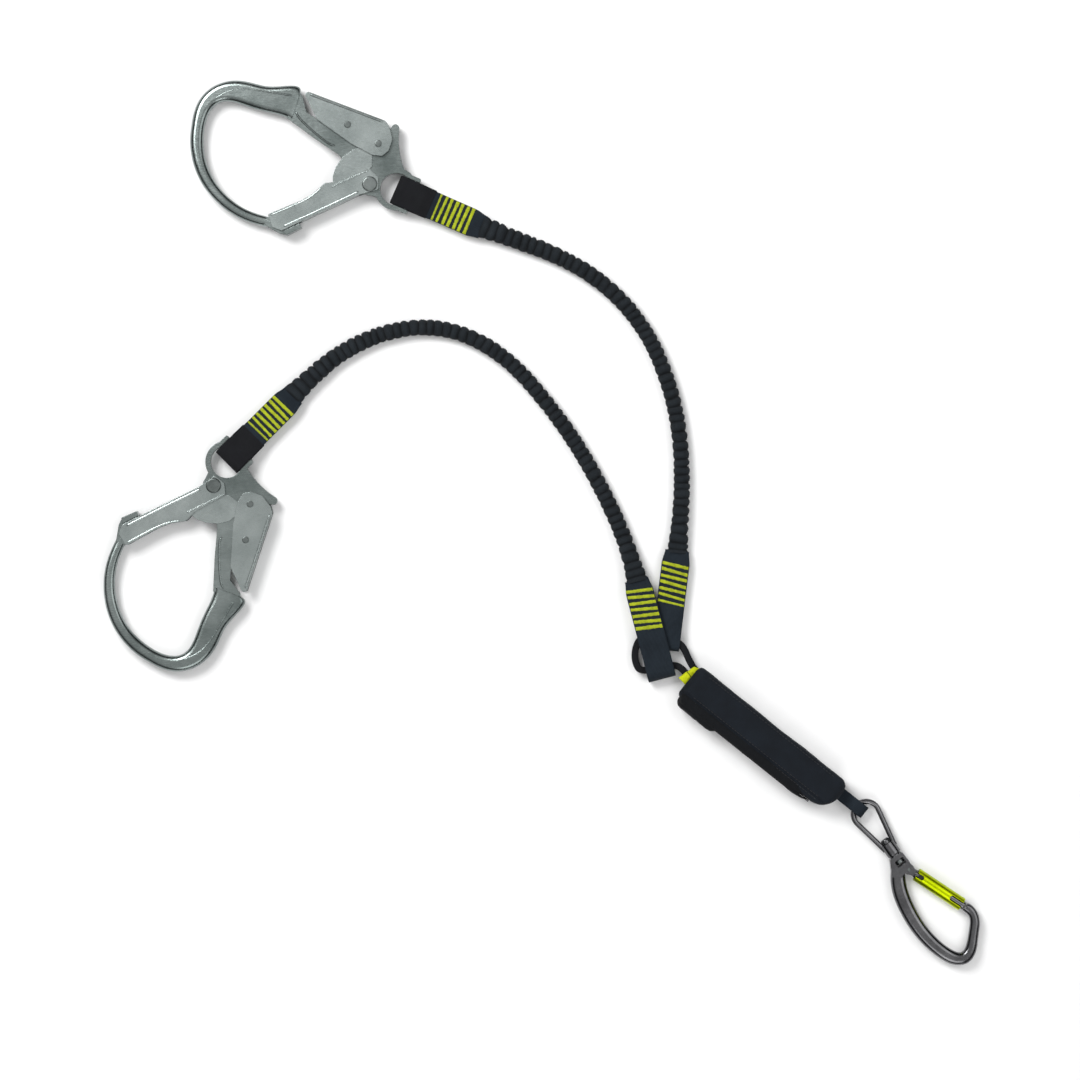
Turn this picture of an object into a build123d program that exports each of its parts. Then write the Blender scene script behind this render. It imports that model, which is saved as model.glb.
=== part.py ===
from build123d import *
import math
import os

os.makedirs("parts", exist_ok=True)

# Shock absorbing lanyard, lying flat: X to the right, Y up the layout, Z up from the floor.
# The origin is on the floor, under the middle of everything except the two free legs.
# All sizes are in millimetres.

# ---------------------------------------------------------------- driving dimensions
HOOK_MID_Z = 11.0          # height of a hook's middle plane above the floor
HOOK_A_EYE = (-145.5, 333.4)   # eye centre of the hook that lies turned over
HOOK_A_TURN = 154.5        # direction from its eye to its bow, degrees from +X
HOOK_B_EYE = (-314.9, 61.0)
HOOK_B_TURN = 256.5
STRAP_A_TURN = -23.7       # direction in which each strap leaves its hook
STRAP_B_TURN = 45.0

EYE_HOLE_R = 16.0
EYE_WALL = 5.2
EYE_BAR_R = 3.8            # straight round bar that the strap loop goes round
EYE_BAR_OFFSET = 15.5      # from the eye centre to the bar's axis
EYE_BAR_HALF = 15.2        # half the bar's free length
PLATE_HALF = 5.0           # half thickness of the forged head plate
BOW_SECTIONS = [           # centre along, centre across, width, thickness of the forged bow
    (99.0, -84.0, 10.0, 10.0),
    (118.0, -87.5, 10.5, 11.0),
    (138.0, -87.3, 11.0, 12.0),
    (158.0, -82.0, 11.8, 12.5),
    (177.0, -71.5, 12.4, 13.0),
    (192.5, -56.0, 13.0, 13.0),
    (203.0, -37.0, 13.4, 13.0),
    (208.6, -16.5, 14.2, 13.0),
    (206.0, 3.0, 16.5, 13.0),
    (193.0, 16.5, 20.5, 13.0),
    (174.0, 22.3, 24.0, 13.0),
    (150.0, 28.0, 27.0, 12.6),
    (126.0, 31.5, 30.0, 12.0),
]

GATE_PIVOT = (25.9, -7.0)
GATE_RIVET_R = 3.5
GATE_RIVET_HEAD_R = 7.5
GATE_SHEET = 1.6
GATE_INNER_HALF = 6.6      # half the gap between the gate channel's cheeks
LEVER_RIVET = (35.4, 33.0)
LEVER_STUD = (71.2, 37.0)
LEVER_RIVET_R = 2.2
LEVER_RIVET_HEAD_R = 3.4
LEVER_SHEET = 1.4
LEVER_INNER_HALF = 7.9
LOCK_PLATE_SHEET = 1.4
RUNNING = 0.05             # radial clearance of a pivot
GAP = 0.35                 # clearance between parts that pass each other

STRAP_THICK = 2.2
LEG_WIDTH = 28.0
SLEEVE_WIDTH = 29.4
SLEEVE_THICK = 1.0
LOOP_HALF = 4.2            # half the height of the loop's cavity round the eye bar
HOOK_FLAT = 76.5           # length of a hook-end loop from the bar to the gathered tube
TACKS = 7                  # bars of thread in each sewn block
TACK_PITCH = 6.3
TACK_BAR = 3.2
TACK_PROUD = 0.5

LEG_D = 15.0               # gathered tube
CORE_D = 6.0               # elastic inside it
# routes of the two legs, from the hook-end loop to the absorber, chosen by hand
LEG_A_ROUTE = [
    (-60.9, 296.2, 11.0), (-27.5, 283.4, 8.6), (9.5, 269.9, 7.6), (45.5, 251.4, 7.6),
    (78.5, 224.4, 7.6), (105.5, 189.4, 7.6), (123.5, 149.4, 7.6), (135.5, 105.4, 7.6),
    (140.0, 59.4, 7.6), (139.3, 13.4, 7.6), (135.1, -30.0, 8.0),
]
LEG_B_ROUTE = [
    (-249.4, 126.6, 11.0), (-225.5, 151.4, 8.6), (-190.5, 176.9, 7.6), (-151.5, 192.4, 7.6),
    (-110.5, 196.9, 7.6), (-69.5, 186.4, 7.6), (-31.5, 161.4, 7.6), (1.5, 124.4, 7.6),
    (31.5, 83.4, 7.6), (56.5, 40.4, 7.6), (77.0, -2.6, 8.0), (88.5, -34.6, 10.2),
    (95.1, -59.0, 13.4),
]
PACK_FLAT_A = (135.1, -30.0)      # where each pack-end strap begins, and its direction
PACK_TURN_A = 263.0
PACK_FLAT_B = (95.1, -59.0)
PACK_TURN_B = 284.7

RING_Z = 6.4               # middle height of the absorber's upper ring strap
LINER_TABS = (((144.3, -144.2), -52.0), ((152.6, -138.1), -58.0))
LINER_LENGTH = 9.0
LINER_THICK = 2.4
LINER_TALL = 7.0
PATCH_CENTRE = (108.0, 1.5)
PATCH_LENGTH = 78.0
PATCH_WIDTH = 11.0
PATCH_THICK = 0.5
RING_THICK = 5.0
RING_TALL = 7.0
RING_ROUTE = [
    (164.0, -156.1), (153.8, -148.0), (147.0, -137.1), (141.5, -123.1), (131.0, -116.1),
    (119.5, -112.4), (107.0, -111.2), (97.0, -116.6), (93.0, -127.6), (93.3, -139.1),
    (97.9, -148.3), (113.7, -145.9), (133.3, -141.3), (141.7, -146.8), (147.6, -155.9),
    (156.5, -163.6),
]

PACK_START = (145.1, -159.0)
PACK_TURN = -38.5
PACK_LENGTH = 190.0
PACK_LOW_SIDE = -16.5      # cover's lower long side; the flap hangs outside it
PACK_HIGH_SIDE = 21.0
PACK_TALL = 28.0
PACK_WALL = 1.8
FLAP_THICK = 2.2
STRIP_THICK = 0.8
STRIP_SPAN = (22.0, 168.0)     # fastening strips under the flap: along the pack, and heights
STRIP_HEIGHTS = (7.0, 22.0)
FLAP_SPAN = (6.0, 184.0)
FLAP_HEIGHTS = (2.5, 26.5)

TAIL_SIDE = 8.0            # tail strap: side offset on the pack, height, width
TAIL_Z = 7.5
TAIL_WIDTH = 13.0
TAIL_THICK = 1.8
TAIL_LOOP_HALF = 5.3       # half the height of its cavity round the link's bar
LINK_BAR = 210.0           # where the link's bar stands along the pack's axis
LINK_BAR_R = 2.7
LINK_WIDE_R = 13.0         # middle radius of the link's wide end
LINK_TURN = -54.6


# ---------------------------------------------------------------- helpers
def turned(origin, degrees, z, over=False):
    """Frame on the floor plan: X along the given direction, Z up, or down when turned over."""
    along = (math.cos(math.radians(degrees)), math.sin(math.radians(degrees)), 0)
    return Plane(origin=(origin[0], origin[1], z), x_dir=along, z_dir=(0, 0, -1 if over else 1))


def local_point(frame, x, y, z=0.0):
    """World point of a place given in a frame."""
    return frame.from_local_coords(Vector(x, y, z))


def save(piece, name):
    """Label a finished piece and write it to its own file."""
    piece.part.label = name
    export_step(piece.part, f"parts/{name}.step")


def disc(frame, centre, radius, low, high):
    """Round disc or shaft across a frame's plane."""
    with BuildPart() as made:
        with BuildSketch(frame.offset(low)):
            with Locations(centre):
                Circle(radius)
        extrude(amount=high - low)
    return made.part


def rivet(frame, centre, shaft_r, head_r, inner, outer):
    """Rivet across a frame's plane: a shaft with one domed head on each side."""
    dome = 0.55 * (outer - inner)
    with BuildPart() as made:
        with BuildSketch(frame.offset(-inner)):
            with Locations(centre):
                Circle(shaft_r)
        extrude(amount=2 * inner)
        for low in (-outer, inner):
            with BuildPart(mode=Mode.PRIVATE) as head:
                with BuildSketch(frame.offset(low)):
                    with Locations(centre):
                        Circle(head_r)
                extrude(amount=outer - inner)
                rim = head.faces().sort_by(Axis(frame.origin, frame.z_dir))[0 if low < 0 else -1]
                fillet(rim.edges(), radius=dome)
            add(head.part)
    return made


def ring_spring(frame, centre, radius, wire_r, heights):
    """Flat wire rings, one solid at each height."""
    with BuildPart() as made:
        for height in heights:
            ring_plane = Plane(origin=local_point(frame, *centre, height), z_dir=frame.z_dir)
            add(Solid.make_torus(radius, wire_r, ring_plane))
    return made


# ---------------------------------------------------------------- scaffold hook
# Every hook part is drawn in the hook's own frame: the origin is the centre of the eye,
# X runs from the eye to the bow and Y points to the spine side.

LEVER_CHEEK = [
    (23.0, 31.0), (24.5, 43.0), (33.0, 53.5), (39.0, 56.6), (121.0, 49.8),
    (123.0, 46.0), (101.0, 28.5), (60.0, 21.2), (36.0, 20.2), (26.5, 23.5),
]
LOCK_PLATE_OUTLINE = [
    (36.0, -12.0), (57.0, -27.0), (62.5, -16.0), (64.0, -6.0), (62.0, 6.0),
    (56.0, 17.0), (46.0, 25.5), (38.0, 24.0), (31.5, 10.5), (33.0, 1.0),
]
GATE_AXES_ORIGIN = (29.1, -19.1)   # start of the gate channel's straight outer edge
GATE_TURN = -50.3                  # direction of that edge in the hook's frame
GATE_CHEEK = [
    (-17.0, -3.2), (2.0, 0.0), (88.0, 0.0), (95.0, 7.0), (93.5, 20.5),
    (58.0, 19.0), (45.0, 20.0), (29.0, 25.0), (16.0, 20.5), (-18.0, 19.0), (-22.0, 8.0),
]
TONGUE = [
    (101.0, 12.5), (95.5, 18.5), (76.0, 3.0), (76.0, -0.5), (69.5, -0.5),
    (69.0, -5.0), (85.0, -6.0), (91.0, -1.5),
]


def gate_frame(frame):
    """Frame of the closed gate: X along its outer edge to the nose, Y into the hook's mouth."""
    turn = math.radians(GATE_TURN)
    along = frame.x_dir * math.cos(turn) + frame.y_dir * math.sin(turn)
    return Plane(origin=local_point(frame, *GATE_AXES_ORIGIN), x_dir=along, z_dir=frame.z_dir)


def hook_body(frame, bar_turn):
    """Forged bow, spine, horn and eye, with a straight round bar across the eye for the strap."""
    turn = math.radians(bar_turn)
    outward = frame.x_dir * math.cos(turn) + frame.y_dir * math.sin(turn)
    across = frame.z_dir.cross(outward)
    bar_length = 2 * EYE_BAR_HALF
    with BuildPart() as body:
        # bow: forged bar whose section grows towards the spine
        for number, (along, side, width, thick) in enumerate(BOW_SECTIONS):
            before = BOW_SECTIONS[max(number - 1, 0)]
            after = BOW_SECTIONS[min(number + 1, len(BOW_SECTIONS) - 1)]
            tangent = frame.x_dir * (after[0] - before[0]) + frame.y_dir * (after[1] - before[1])
            cut = Plane(origin=local_point(frame, along, side), x_dir=tangent.cross(frame.z_dir),
                        z_dir=tangent)
            with BuildSketch(cut):
                RectangleRounded(width, thick, radius=0.42 * min(width, thick))
        loft()
        # head plate: web, horn, spine and the boss of the gate's pivot
        with BuildSketch(frame.offset(-PLATE_HALF)) as head:
            with BuildLine():
                horn = ThreePointArc((0.5, 20.6), (12.5, 34.5), (23.0, 55.5))
                tip = ThreePointArc(horn @ 1, (27.4, 58.4), (30.8, 55.0))
                Polyline(tip @ 1, (31.5, 49.5), (41.0, 44.0), (51.0, 36.5), (61.0, 27.5),
                         (84.0, 27.0), (114.0, 31.0), (124.5, 43.5), (128.0, 45.5), (129.0, 17.2),
                         (96.0, 10.8), (67.3, 6.5), (46.0, -1.5), (34.0, -12.0), (22.0, -17.0),
                         (13.5, -15.3), (4.3, -18.5), (0.5, 20.6))
            make_face()
            Circle(EYE_HOLE_R + EYE_WALL)
            with Locations(GATE_PIVOT):
                Circle(11.0)
        extrude(amount=2 * PLATE_HALF)
        # eye hole, opened past the ring where the strap passes
        with BuildSketch(frame.offset(-PLATE_HALF)):
            Circle(EYE_HOLE_R)
        extrude(amount=2 * PLATE_HALF, mode=Mode.SUBTRACT)
        slot = Plane(origin=frame.origin + outward * EYE_BAR_OFFSET - frame.z_dir * PLATE_HALF,
                     x_dir=outward, z_dir=frame.z_dir)
        with BuildSketch(slot):
            with Locations((-3.0, 0.0)):
                Rectangle(18.0, bar_length)
        extrude(amount=2 * PLATE_HALF, mode=Mode.SUBTRACT)
        # straight bar of the eye and its two shoulders
        for side in (-1, 1):
            shoulder = slot.origin + across * (side * (bar_length / 2 + 1.9)) - outward * 2.6
            with BuildSketch(Plane(origin=shoulder, x_dir=outward, z_dir=frame.z_dir)):
                RectangleRounded(12.6, 3.8, radius=1.8)
            extrude(amount=2 * PLATE_HALF)
        bar_start = frame.origin + outward * EYE_BAR_OFFSET - across * (bar_length / 2 + 1.0)
        with BuildSketch(Plane(origin=bar_start, z_dir=across)):
            Circle(EYE_BAR_R)
        extrude(amount=bar_length + 2.0)
        # tongue and head that the gate's nose closes on
        nose = gate_frame(frame)
        with BuildSketch(nose.offset(-4.9)):
            with BuildLine():
                Polyline(*TONGUE, close=True)
            make_face()
        extrude(amount=9.8)
        with BuildSketch(nose.offset(-7.6)):
            with BuildLine():
                Polyline((69.0, -1.0), (68.5, -5.6), (85.5, -6.4), (87.0, -1.0), close=True)
            make_face()
        extrude(amount=15.2)
        # holes of the two rivets
        with BuildSketch(frame.offset(-PLATE_HALF - 1)):
            with Locations(GATE_PIVOT):
                Circle(GATE_RIVET_R)
            with Locations(LEVER_RIVET):
                Circle(LEVER_RIVET_R)
        extrude(amount=2 * PLATE_HALF + 2, mode=Mode.SUBTRACT)
    return body


def hook_gate(frame):
    """Sheet steel channel: two cheeks that straddle the plate, joined along the outer edge."""
    nose = gate_frame(frame)
    with BuildPart() as gate:
        for low in (GATE_INNER_HALF, -GATE_INNER_HALF - GATE_SHEET):
            with BuildSketch(nose.offset(low)) as cheek:
                with BuildLine():
                    Polyline(*GATE_CHEEK, close=True)
                make_face()
                fillet(cheek.vertices(), radius=1.6)
            extrude(amount=GATE_SHEET)
        web_half = GATE_INNER_HALF + GATE_SHEET
        with BuildSketch(nose.offset(-web_half)):
            with BuildLine():
                Polyline((3.0, 0.0), (66.0, 0.0), (66.0, GATE_SHEET), (3.0, GATE_SHEET), close=True)
            make_face()
        extrude(amount=2 * web_half)
        # raised lips along the cheeks' inner edges
        for low in (web_half, -web_half - 0.5):
            with BuildSketch(nose.offset(low)):
                with Locations((4.0, 18.2)):
                    Rectangle(40.0, 1.4)
            extrude(amount=0.5)
        with BuildSketch(frame.offset(-web_half - 1)):
            with Locations(GATE_PIVOT):
                Circle(GATE_RIVET_R + RUNNING)
        extrude(amount=2 * web_half + 2, mode=Mode.SUBTRACT)
    return gate


def grip_lever(frame):
    """Grip lever: two side plates outside everything else and a web along the hook's back."""
    with BuildPart() as lever:
        for low in (LEVER_INNER_HALF, -LEVER_INNER_HALF - LEVER_SHEET):
            with BuildSketch(frame.offset(low + (GAP if low > 0 else -GAP))) as cheek:
                with BuildLine():
                    Polyline(*LEVER_CHEEK, close=True)
                make_face()
                fillet(cheek.vertices(), radius=2.5)
            extrude(amount=LEVER_SHEET)
        web_half = LEVER_INNER_HALF + GAP + LEVER_SHEET
        with BuildSketch(frame.offset(-web_half)):
            with BuildLine():
                Polyline((40.5, 56.2), (119.5, 49.6), (119.4, 48.2), (40.4, 54.8), close=True)
            make_face()
        extrude(amount=2 * web_half)
        with BuildSketch(frame.offset(-web_half - 1)):
            with Locations(LEVER_RIVET):
                Circle(LEVER_RIVET_R + RUNNING)
            with Locations(LEVER_STUD):
                Circle(LEVER_RIVET_R)
        extrude(amount=2 * web_half + 2, mode=Mode.SUBTRACT)
    return lever


def lock_plates(frame):
    """Two lock plates welded inside the gate's cheeks; they pass clear of the lever's rivet."""
    with BuildPart() as plates:
        for low in (GATE_INNER_HALF - LOCK_PLATE_SHEET, -GATE_INNER_HALF):
            with BuildSketch(frame.offset(low)) as side:
                with BuildLine():
                    Polyline(*LOCK_PLATE_OUTLINE, close=True)
                make_face()
                fillet(side.vertices(), radius=2.0)
            extrude(amount=LOCK_PLATE_SHEET)
    return plates


def make_hook(frame, bar_turn, suffix):
    """All pieces of one scaffold hook, each in its own file."""
    save(hook_body(frame, bar_turn), f"hook_body_{suffix}")
    save(hook_gate(frame), f"hook_gate_{suffix}")
    save(grip_lever(frame), f"grip_lever_{suffix}")
    save(lock_plates(frame), f"lock_plates_{suffix}")
    cheek_out = GATE_INNER_HALF + GATE_SHEET + 0.1
    save(rivet(frame, GATE_PIVOT, GATE_RIVET_R, GATE_RIVET_HEAD_R, cheek_out, HOOK_MID_Z - 0.1),
         f"gate_rivet_{suffix}")
    lever_out = LEVER_INNER_HALF + GAP + LEVER_SHEET
    save(rivet(frame, LEVER_RIVET, LEVER_RIVET_R, LEVER_RIVET_HEAD_R, lever_out + 0.05,
               HOOK_MID_Z - 0.1), f"lever_rivet_{suffix}")
    save(rivet(frame, LEVER_STUD, LEVER_RIVET_R, LEVER_RIVET_HEAD_R, lever_out,
               HOOK_MID_Z - 0.1), f"lever_stud_{suffix}")
    gap_mid = (PLATE_HALF + GATE_INNER_HALF) / 2
    save(ring_spring(frame, GATE_PIVOT, 5.4, 0.65, (-gap_mid, gap_mid)), f"gate_spring_{suffix}")
    turns = [-4.5 + 1.5 * number for number in range(7)]
    save(ring_spring(frame, LEVER_STUD, 3.3, 0.6, turns), f"lever_spring_{suffix}")


hook_a = turned(HOOK_A_EYE, HOOK_A_TURN, HOOK_MID_Z, over=True)
hook_b = turned(HOOK_B_EYE, HOOK_B_TURN, HOOK_MID_Z)
# the strap's direction in each hook's own frame; the turned-over hook measures it the other way
make_hook(hook_a, -(STRAP_A_TURN - HOOK_A_TURN), "a")
make_hook(hook_b, STRAP_B_TURN - HOOK_B_TURN, "b")


# ---------------------------------------------------------------- elastic legs
def upright(origin, degrees):
    """Side-view plane of a strap: X along it, Y up; the strap's width runs along the normal."""
    turn = math.radians(degrees)
    return Plane(origin=origin, x_dir=(math.cos(turn), math.sin(turn), 0),
                 z_dir=(math.sin(turn), -math.cos(turn), 0))


def folded_strap(side_plane, outside, inside, width):
    """Strap folded into a loop: its outline in side view, less the cavity of the loop."""
    with BuildPart() as strap:
        with BuildSketch(side_plane):
            with BuildLine():
                Polyline(*outside, close=True)
            make_face()
            with BuildLine():
                Polyline(*inside, close=True)
            make_face(mode=Mode.SUBTRACT)
        extrude(amount=width / 2, both=True)
    return strap


def half_round(centre, radius, start, stop, steps=8):
    """Points of an arc in a side view, from one angle to another, in degrees."""
    turns = [math.radians(start + (stop - start) * n / steps) for n in range(steps + 1)]
    return [(centre[0] + radius * math.cos(t), centre[1] + radius * math.sin(t)) for t in turns]


def hook_loop(side_plane):
    """Loop round the hook's eye bar; the origin of the side view is the bar's axis."""
    outer = LOOP_HALF + STRAP_THICK
    fold = (outer - EYE_BAR_OFFSET, 0.0)
    outside = half_round(fold, outer, 90, 270) + [
        (9.0, -outer), (19.0, -STRAP_THICK), (HOOK_FLAT, -STRAP_THICK),
        (HOOK_FLAT, STRAP_THICK), (19.0, STRAP_THICK), (9.0, outer),
    ]
    inside = half_round(fold, LOOP_HALF, 90, 270) + [(8.0, -LOOP_HALF), (18.0, 0.0), (8.0, LOOP_HALF)]
    return folded_strap(side_plane, outside, inside, LEG_WIDTH)


def wear_sleeve(side_plane):
    """Cover laid round the outside of the hook-end loop."""
    inner = LOOP_HALF + STRAP_THICK + 0.05
    outer = inner + SLEEVE_THICK
    fold = (inner - 0.05 - EYE_BAR_OFFSET, 0.0)
    end = 20.5
    flat = STRAP_THICK + 0.05
    ring = half_round(fold, outer, 90, 270) + [
        (9.0, -outer), (19.0, -flat - SLEEVE_THICK), (end, -flat - SLEEVE_THICK), (end, -flat),
        (19.0, -flat), (9.0, -inner),
    ]
    back = half_round(fold, inner, 270, 90) + [
        (9.0, inner), (19.0, flat), (end, flat), (end, flat + SLEEVE_THICK),
        (19.0, flat + SLEEVE_THICK), (9.0, outer),
    ]
    with BuildPart() as sleeve:
        with BuildSketch(side_plane):
            with BuildLine():
                Polyline(*ring, *back, close=True)
            make_face()
        extrude(amount=SLEEVE_WIDTH / 2, both=True)
    return sleeve


def bar_tacks(plane, first):
    """Bars of thread on both faces of a strap whose middle lies in the plane."""
    with BuildPart() as tacks:
        for low in (STRAP_THICK, -STRAP_THICK - TACK_PROUD):
            with BuildSketch(plane.offset(low)):
                for number in range(TACKS):
                    with Locations((first + number * TACK_PITCH, 0.0)):
                        Rectangle(TACK_BAR, LEG_WIDTH - 3.0)
            extrude(amount=TACK_PROUD)
    return tacks


def cord_path(route):
    """Straight runs joined by tangent arcs, each arc as large as its two runs allow."""
    points = [Vector(*point) for point in route]
    radii = []
    for before, here, after in zip(points, points[1:], points[2:]):
        turn = (here - before).get_angle(after - here)
        shorter = min((here - before).length, (after - here).length)
        radii.append(0.45 * shorter / math.tan(math.radians(turn) / 2))
    with BuildLine():
        path = FilletPolyline(*points, radius=radii)
    return path, radii


def tube_along(route, diameter, name):
    """Round tube along a route; prints its radii and compares its volume with its length."""
    path, radii = cord_path(route)
    with BuildPart() as tube:
        with BuildSketch(Plane(origin=path @ 0, z_dir=path % 0)):
            Circle(diameter / 2)
        sweep(path=path)
    expected = math.pi * diameter ** 2 / 4 * path.length
    print(name, "length", round(path.length, 1), "volume ratio",
          round(tube.part.volume / expected, 4), "radii", [round(radius) for radius in radii])
    return tube


def leg_tube(route, name):
    """Gathered webbing tube, hollow for the elastic core."""
    tube = tube_along(route, LEG_D, name)
    core = tube_along(route, CORE_D, name + " bore")
    with BuildPart() as made:
        add(tube.part)
        add(core.part, mode=Mode.SUBTRACT)
    return made


def make_hook_end(eye, strap_turn, suffix):
    """Sewn end of a leg at its hook."""
    turn = math.radians(strap_turn)
    bar = (eye[0] + EYE_BAR_OFFSET * math.cos(turn), eye[1] + EYE_BAR_OFFSET * math.sin(turn),
           HOOK_MID_Z)
    side_plane = upright(bar, strap_turn)
    save(hook_loop(side_plane), f"hook_end_loop_{suffix}")
    save(wear_sleeve(side_plane), f"wear_sleeve_{suffix}")
    save(bar_tacks(turned(bar, strap_turn, HOOK_MID_Z), 24.5), f"hook_end_tacks_{suffix}")


make_hook_end(HOOK_A_EYE, STRAP_A_TURN, "a")
make_hook_end(HOOK_B_EYE, STRAP_B_TURN, "b")

for leg, route in (("a", LEG_A_ROUTE), ("b", LEG_B_ROUTE)):
    save(leg_tube(route, f"leg {leg}"), f"gathered_webbing_{leg}")
    save(tube_along(route, CORE_D - 0.6, f"core {leg}"), f"elastic_core_{leg}")


# ---------------------------------------------------------------- pack-end loops of the legs
def pack_loop_low(side_plane):
    """Leg A's loop, flat on the floor round the upper strand of the ring."""
    outside = [(0.0, 10.2), (56.0, 10.2), (74.0, 12.5)]
    outside += half_round((91.9, 6.4), 6.1, 90, -90)
    outside += [(74.0, 0.3), (58.0, 5.8), (0.0, 5.8)]
    inside = [(64.0, 8.1), (76.0, 10.3)]
    inside += half_round((91.9, 6.4), 3.9, 90, -90)
    inside += [(76.0, 2.5)]
    return folded_strap(side_plane, outside, inside, LEG_WIDTH)


def pack_loop_high(side_plane):
    """Leg B's loop: it climbs over leg A's and drops round the lower strand of the ring."""
    outside = [(0.0, 15.6), (50.0, 17.9)]
    outside += half_round((91.7, 9.1), 8.8, 90, -90)
    outside += [(81.5, 0.3), (77.0, 13.5), (50.0, 13.5), (0.0, 11.2)]
    inside = [(79.8, 15.7)]
    inside += half_round((91.7, 9.1), 6.6, 90, -90)
    inside += [(83.5, 2.5)]
    return folded_strap(side_plane, outside, inside, LEG_WIDTH)


side_a = upright((*PACK_FLAT_A, 0.0), PACK_TURN_A)
save(pack_loop_low(side_a), "pack_end_loop_a")
side_b = upright((*PACK_FLAT_B, 0.0), PACK_TURN_B)
save(pack_loop_high(side_b), "pack_end_loop_b")
save(bar_tacks(turned(PACK_FLAT_A, PACK_TURN_A, 8.0), 12.5), "pack_end_tacks_a")
climb = side_b.x_dir * 50.0 + side_b.y_dir * 2.3
tack_plane_b = Plane(origin=side_b.origin + side_b.y_dir * 13.4, x_dir=climb,
                     z_dir=climb.cross(side_b.z_dir) * -1)
save(bar_tacks(tack_plane_b, 9.0), "pack_end_tacks_b")


# ---------------------------------------------------------------- absorber pack
pack = turned(PACK_START, PACK_TURN, 0.0)
pack_end_view = Plane(origin=pack.origin, x_dir=pack.y_dir, z_dir=pack.x_dir)


def section(low, high, floor, top, corner):
    """Rounded rectangle across the pack, from side to side and floor to top."""
    with Locations(((low + high) / 2, (floor + top) / 2)):
        RectangleRounded(high - low, top - floor, radius=corner)


def pack_cover():
    """Fabric shell of the absorber, open only where the webbing passes."""
    with BuildPart() as cover:
        with BuildSketch(pack_end_view):
            section(PACK_LOW_SIDE, PACK_HIGH_SIDE, 0.0, PACK_TALL, 5.5)
        extrude(amount=PACK_LENGTH)
        ends = cover.faces().sort_by(Axis(pack.origin, pack.x_dir))
        fillet(ends[0].edges() + ends[-1].edges(), radius=4.0)
        with BuildSketch(pack_end_view.offset(PACK_WALL)):
            section(PACK_LOW_SIDE + PACK_WALL, PACK_HIGH_SIDE - PACK_WALL, PACK_WALL,
                    PACK_TALL - PACK_WALL, 3.6)
        extrude(amount=PACK_LENGTH - 2 * PACK_WALL, mode=Mode.SUBTRACT)
        # mouth for the upper ring, and slot for the tail
        with BuildSketch(pack_end_view.offset(-1.0)):
            section(-1.5, 18.2, 2.0, 11.0, 2.0)
        extrude(amount=5.0, mode=Mode.SUBTRACT)
        with BuildSketch(pack_end_view.offset(PACK_LENGTH + 1.0)):
            section(TAIL_SIDE - 7.5, TAIL_SIDE + 7.5, TAIL_Z - 3.6, TAIL_Z + 3.6, 1.5)
        extrude(amount=-5.0, mode=Mode.SUBTRACT)
    return cover


def side_panel(span, inner, heights, corner, thick):
    """Flat panel along the pack's lower side."""
    panel_plane = Plane(origin=local_point(pack, 0, inner), x_dir=pack.x_dir, z_dir=-pack.y_dir)
    with BuildPart() as panel:
        with BuildSketch(panel_plane):
            with Locations(((span[0] + span[1]) / 2, (heights[0] + heights[1]) / 2)):
                RectangleRounded(span[1] - span[0], heights[1] - heights[0], radius=corner)
        extrude(amount=thick)
    return panel


def tear_webbing():
    """Energy absorbing webbing, folded to and fro inside the cover; its ends are sewn together."""
    layers = 6
    thick = 2.4
    pitch = 3.4
    near, far = 14.0, 172.0
    floor = 4.2
    with BuildPart() as webbing:
        with BuildSketch(Plane(origin=pack.origin, x_dir=pack.x_dir, z_dir=-pack.y_dir)):
            for number in range(layers):
                height = floor + number * pitch + thick / 2
                with Locations(((near + far) / 2, height)):
                    Rectangle(far - near, thick)
                if number < layers - 1:
                    end = far - thick / 2 if number % 2 == 0 else near + thick / 2
                    with Locations((end, height + pitch / 2)):
                        Rectangle(thick, pitch)
        extrude(amount=13.0, both=True)
    return webbing


def ring_strap():
    """Absorber's upper ring: webbing on edge, with both ends sewn inside the cover."""
    path, radii = cord_path([(x, y, RING_Z) for x, y in RING_ROUTE])
    print("ring length", round(path.length, 1), "radii", [round(radius, 1) for radius in radii])
    with BuildPart() as ring:
        across = Vector(0, 0, 1).cross(path % 0)
        with BuildSketch(Plane(origin=path @ 0, x_dir=across, z_dir=path % 0)):
            RectangleRounded(RING_THICK, RING_TALL, radius=1.5)
        sweep(path=path)
    return ring


def lime_liner():
    """Two short webbing tabs beside the strands at the pack's mouth."""
    with BuildPart() as liner:
        for centre, turn in LINER_TABS:
            with BuildSketch(turned(centre, turn, RING_Z - LINER_TALL / 2)):
                RectangleRounded(LINER_LENGTH, LINER_THICK, radius=1.1)
            extrude(amount=LINER_TALL)
    return liner


def graphic_patch():
    """Plain woven patch on the cover's top face."""
    with BuildPart() as patch:
        with BuildSketch(pack.offset(PACK_TALL + 0.05)):
            with Locations(PATCH_CENTRE):
                RectangleRounded(PATCH_LENGTH, PATCH_WIDTH, radius=2.0)
        extrude(amount=PATCH_THICK)
    return patch


def tail_loop():
    """Tail strap from inside the pack, folded round the link's bar."""
    bar = local_point(pack, LINK_BAR, TAIL_SIDE, TAIL_Z)
    side_plane = upright(bar, PACK_TURN + 180.0)
    outer = TAIL_LOOP_HALF + TAIL_THICK
    fold = (outer - 11.0, 0.0)
    tail_end = LINK_BAR - PACK_LENGTH + 12.0
    outside = half_round(fold, outer, 90, 270) + [
        (4.0, -outer), (12.0, -TAIL_THICK), (tail_end, -TAIL_THICK),
        (tail_end, TAIL_THICK), (12.0, TAIL_THICK), (4.0, outer),
    ]
    inside = half_round(fold, TAIL_LOOP_HALF, 90, 270)
    inside += [(3.6, -TAIL_LOOP_HALF), (11.0, 0.0), (3.6, TAIL_LOOP_HALF)]
    return folded_strap(side_plane, outside, inside, TAIL_WIDTH)


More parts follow.
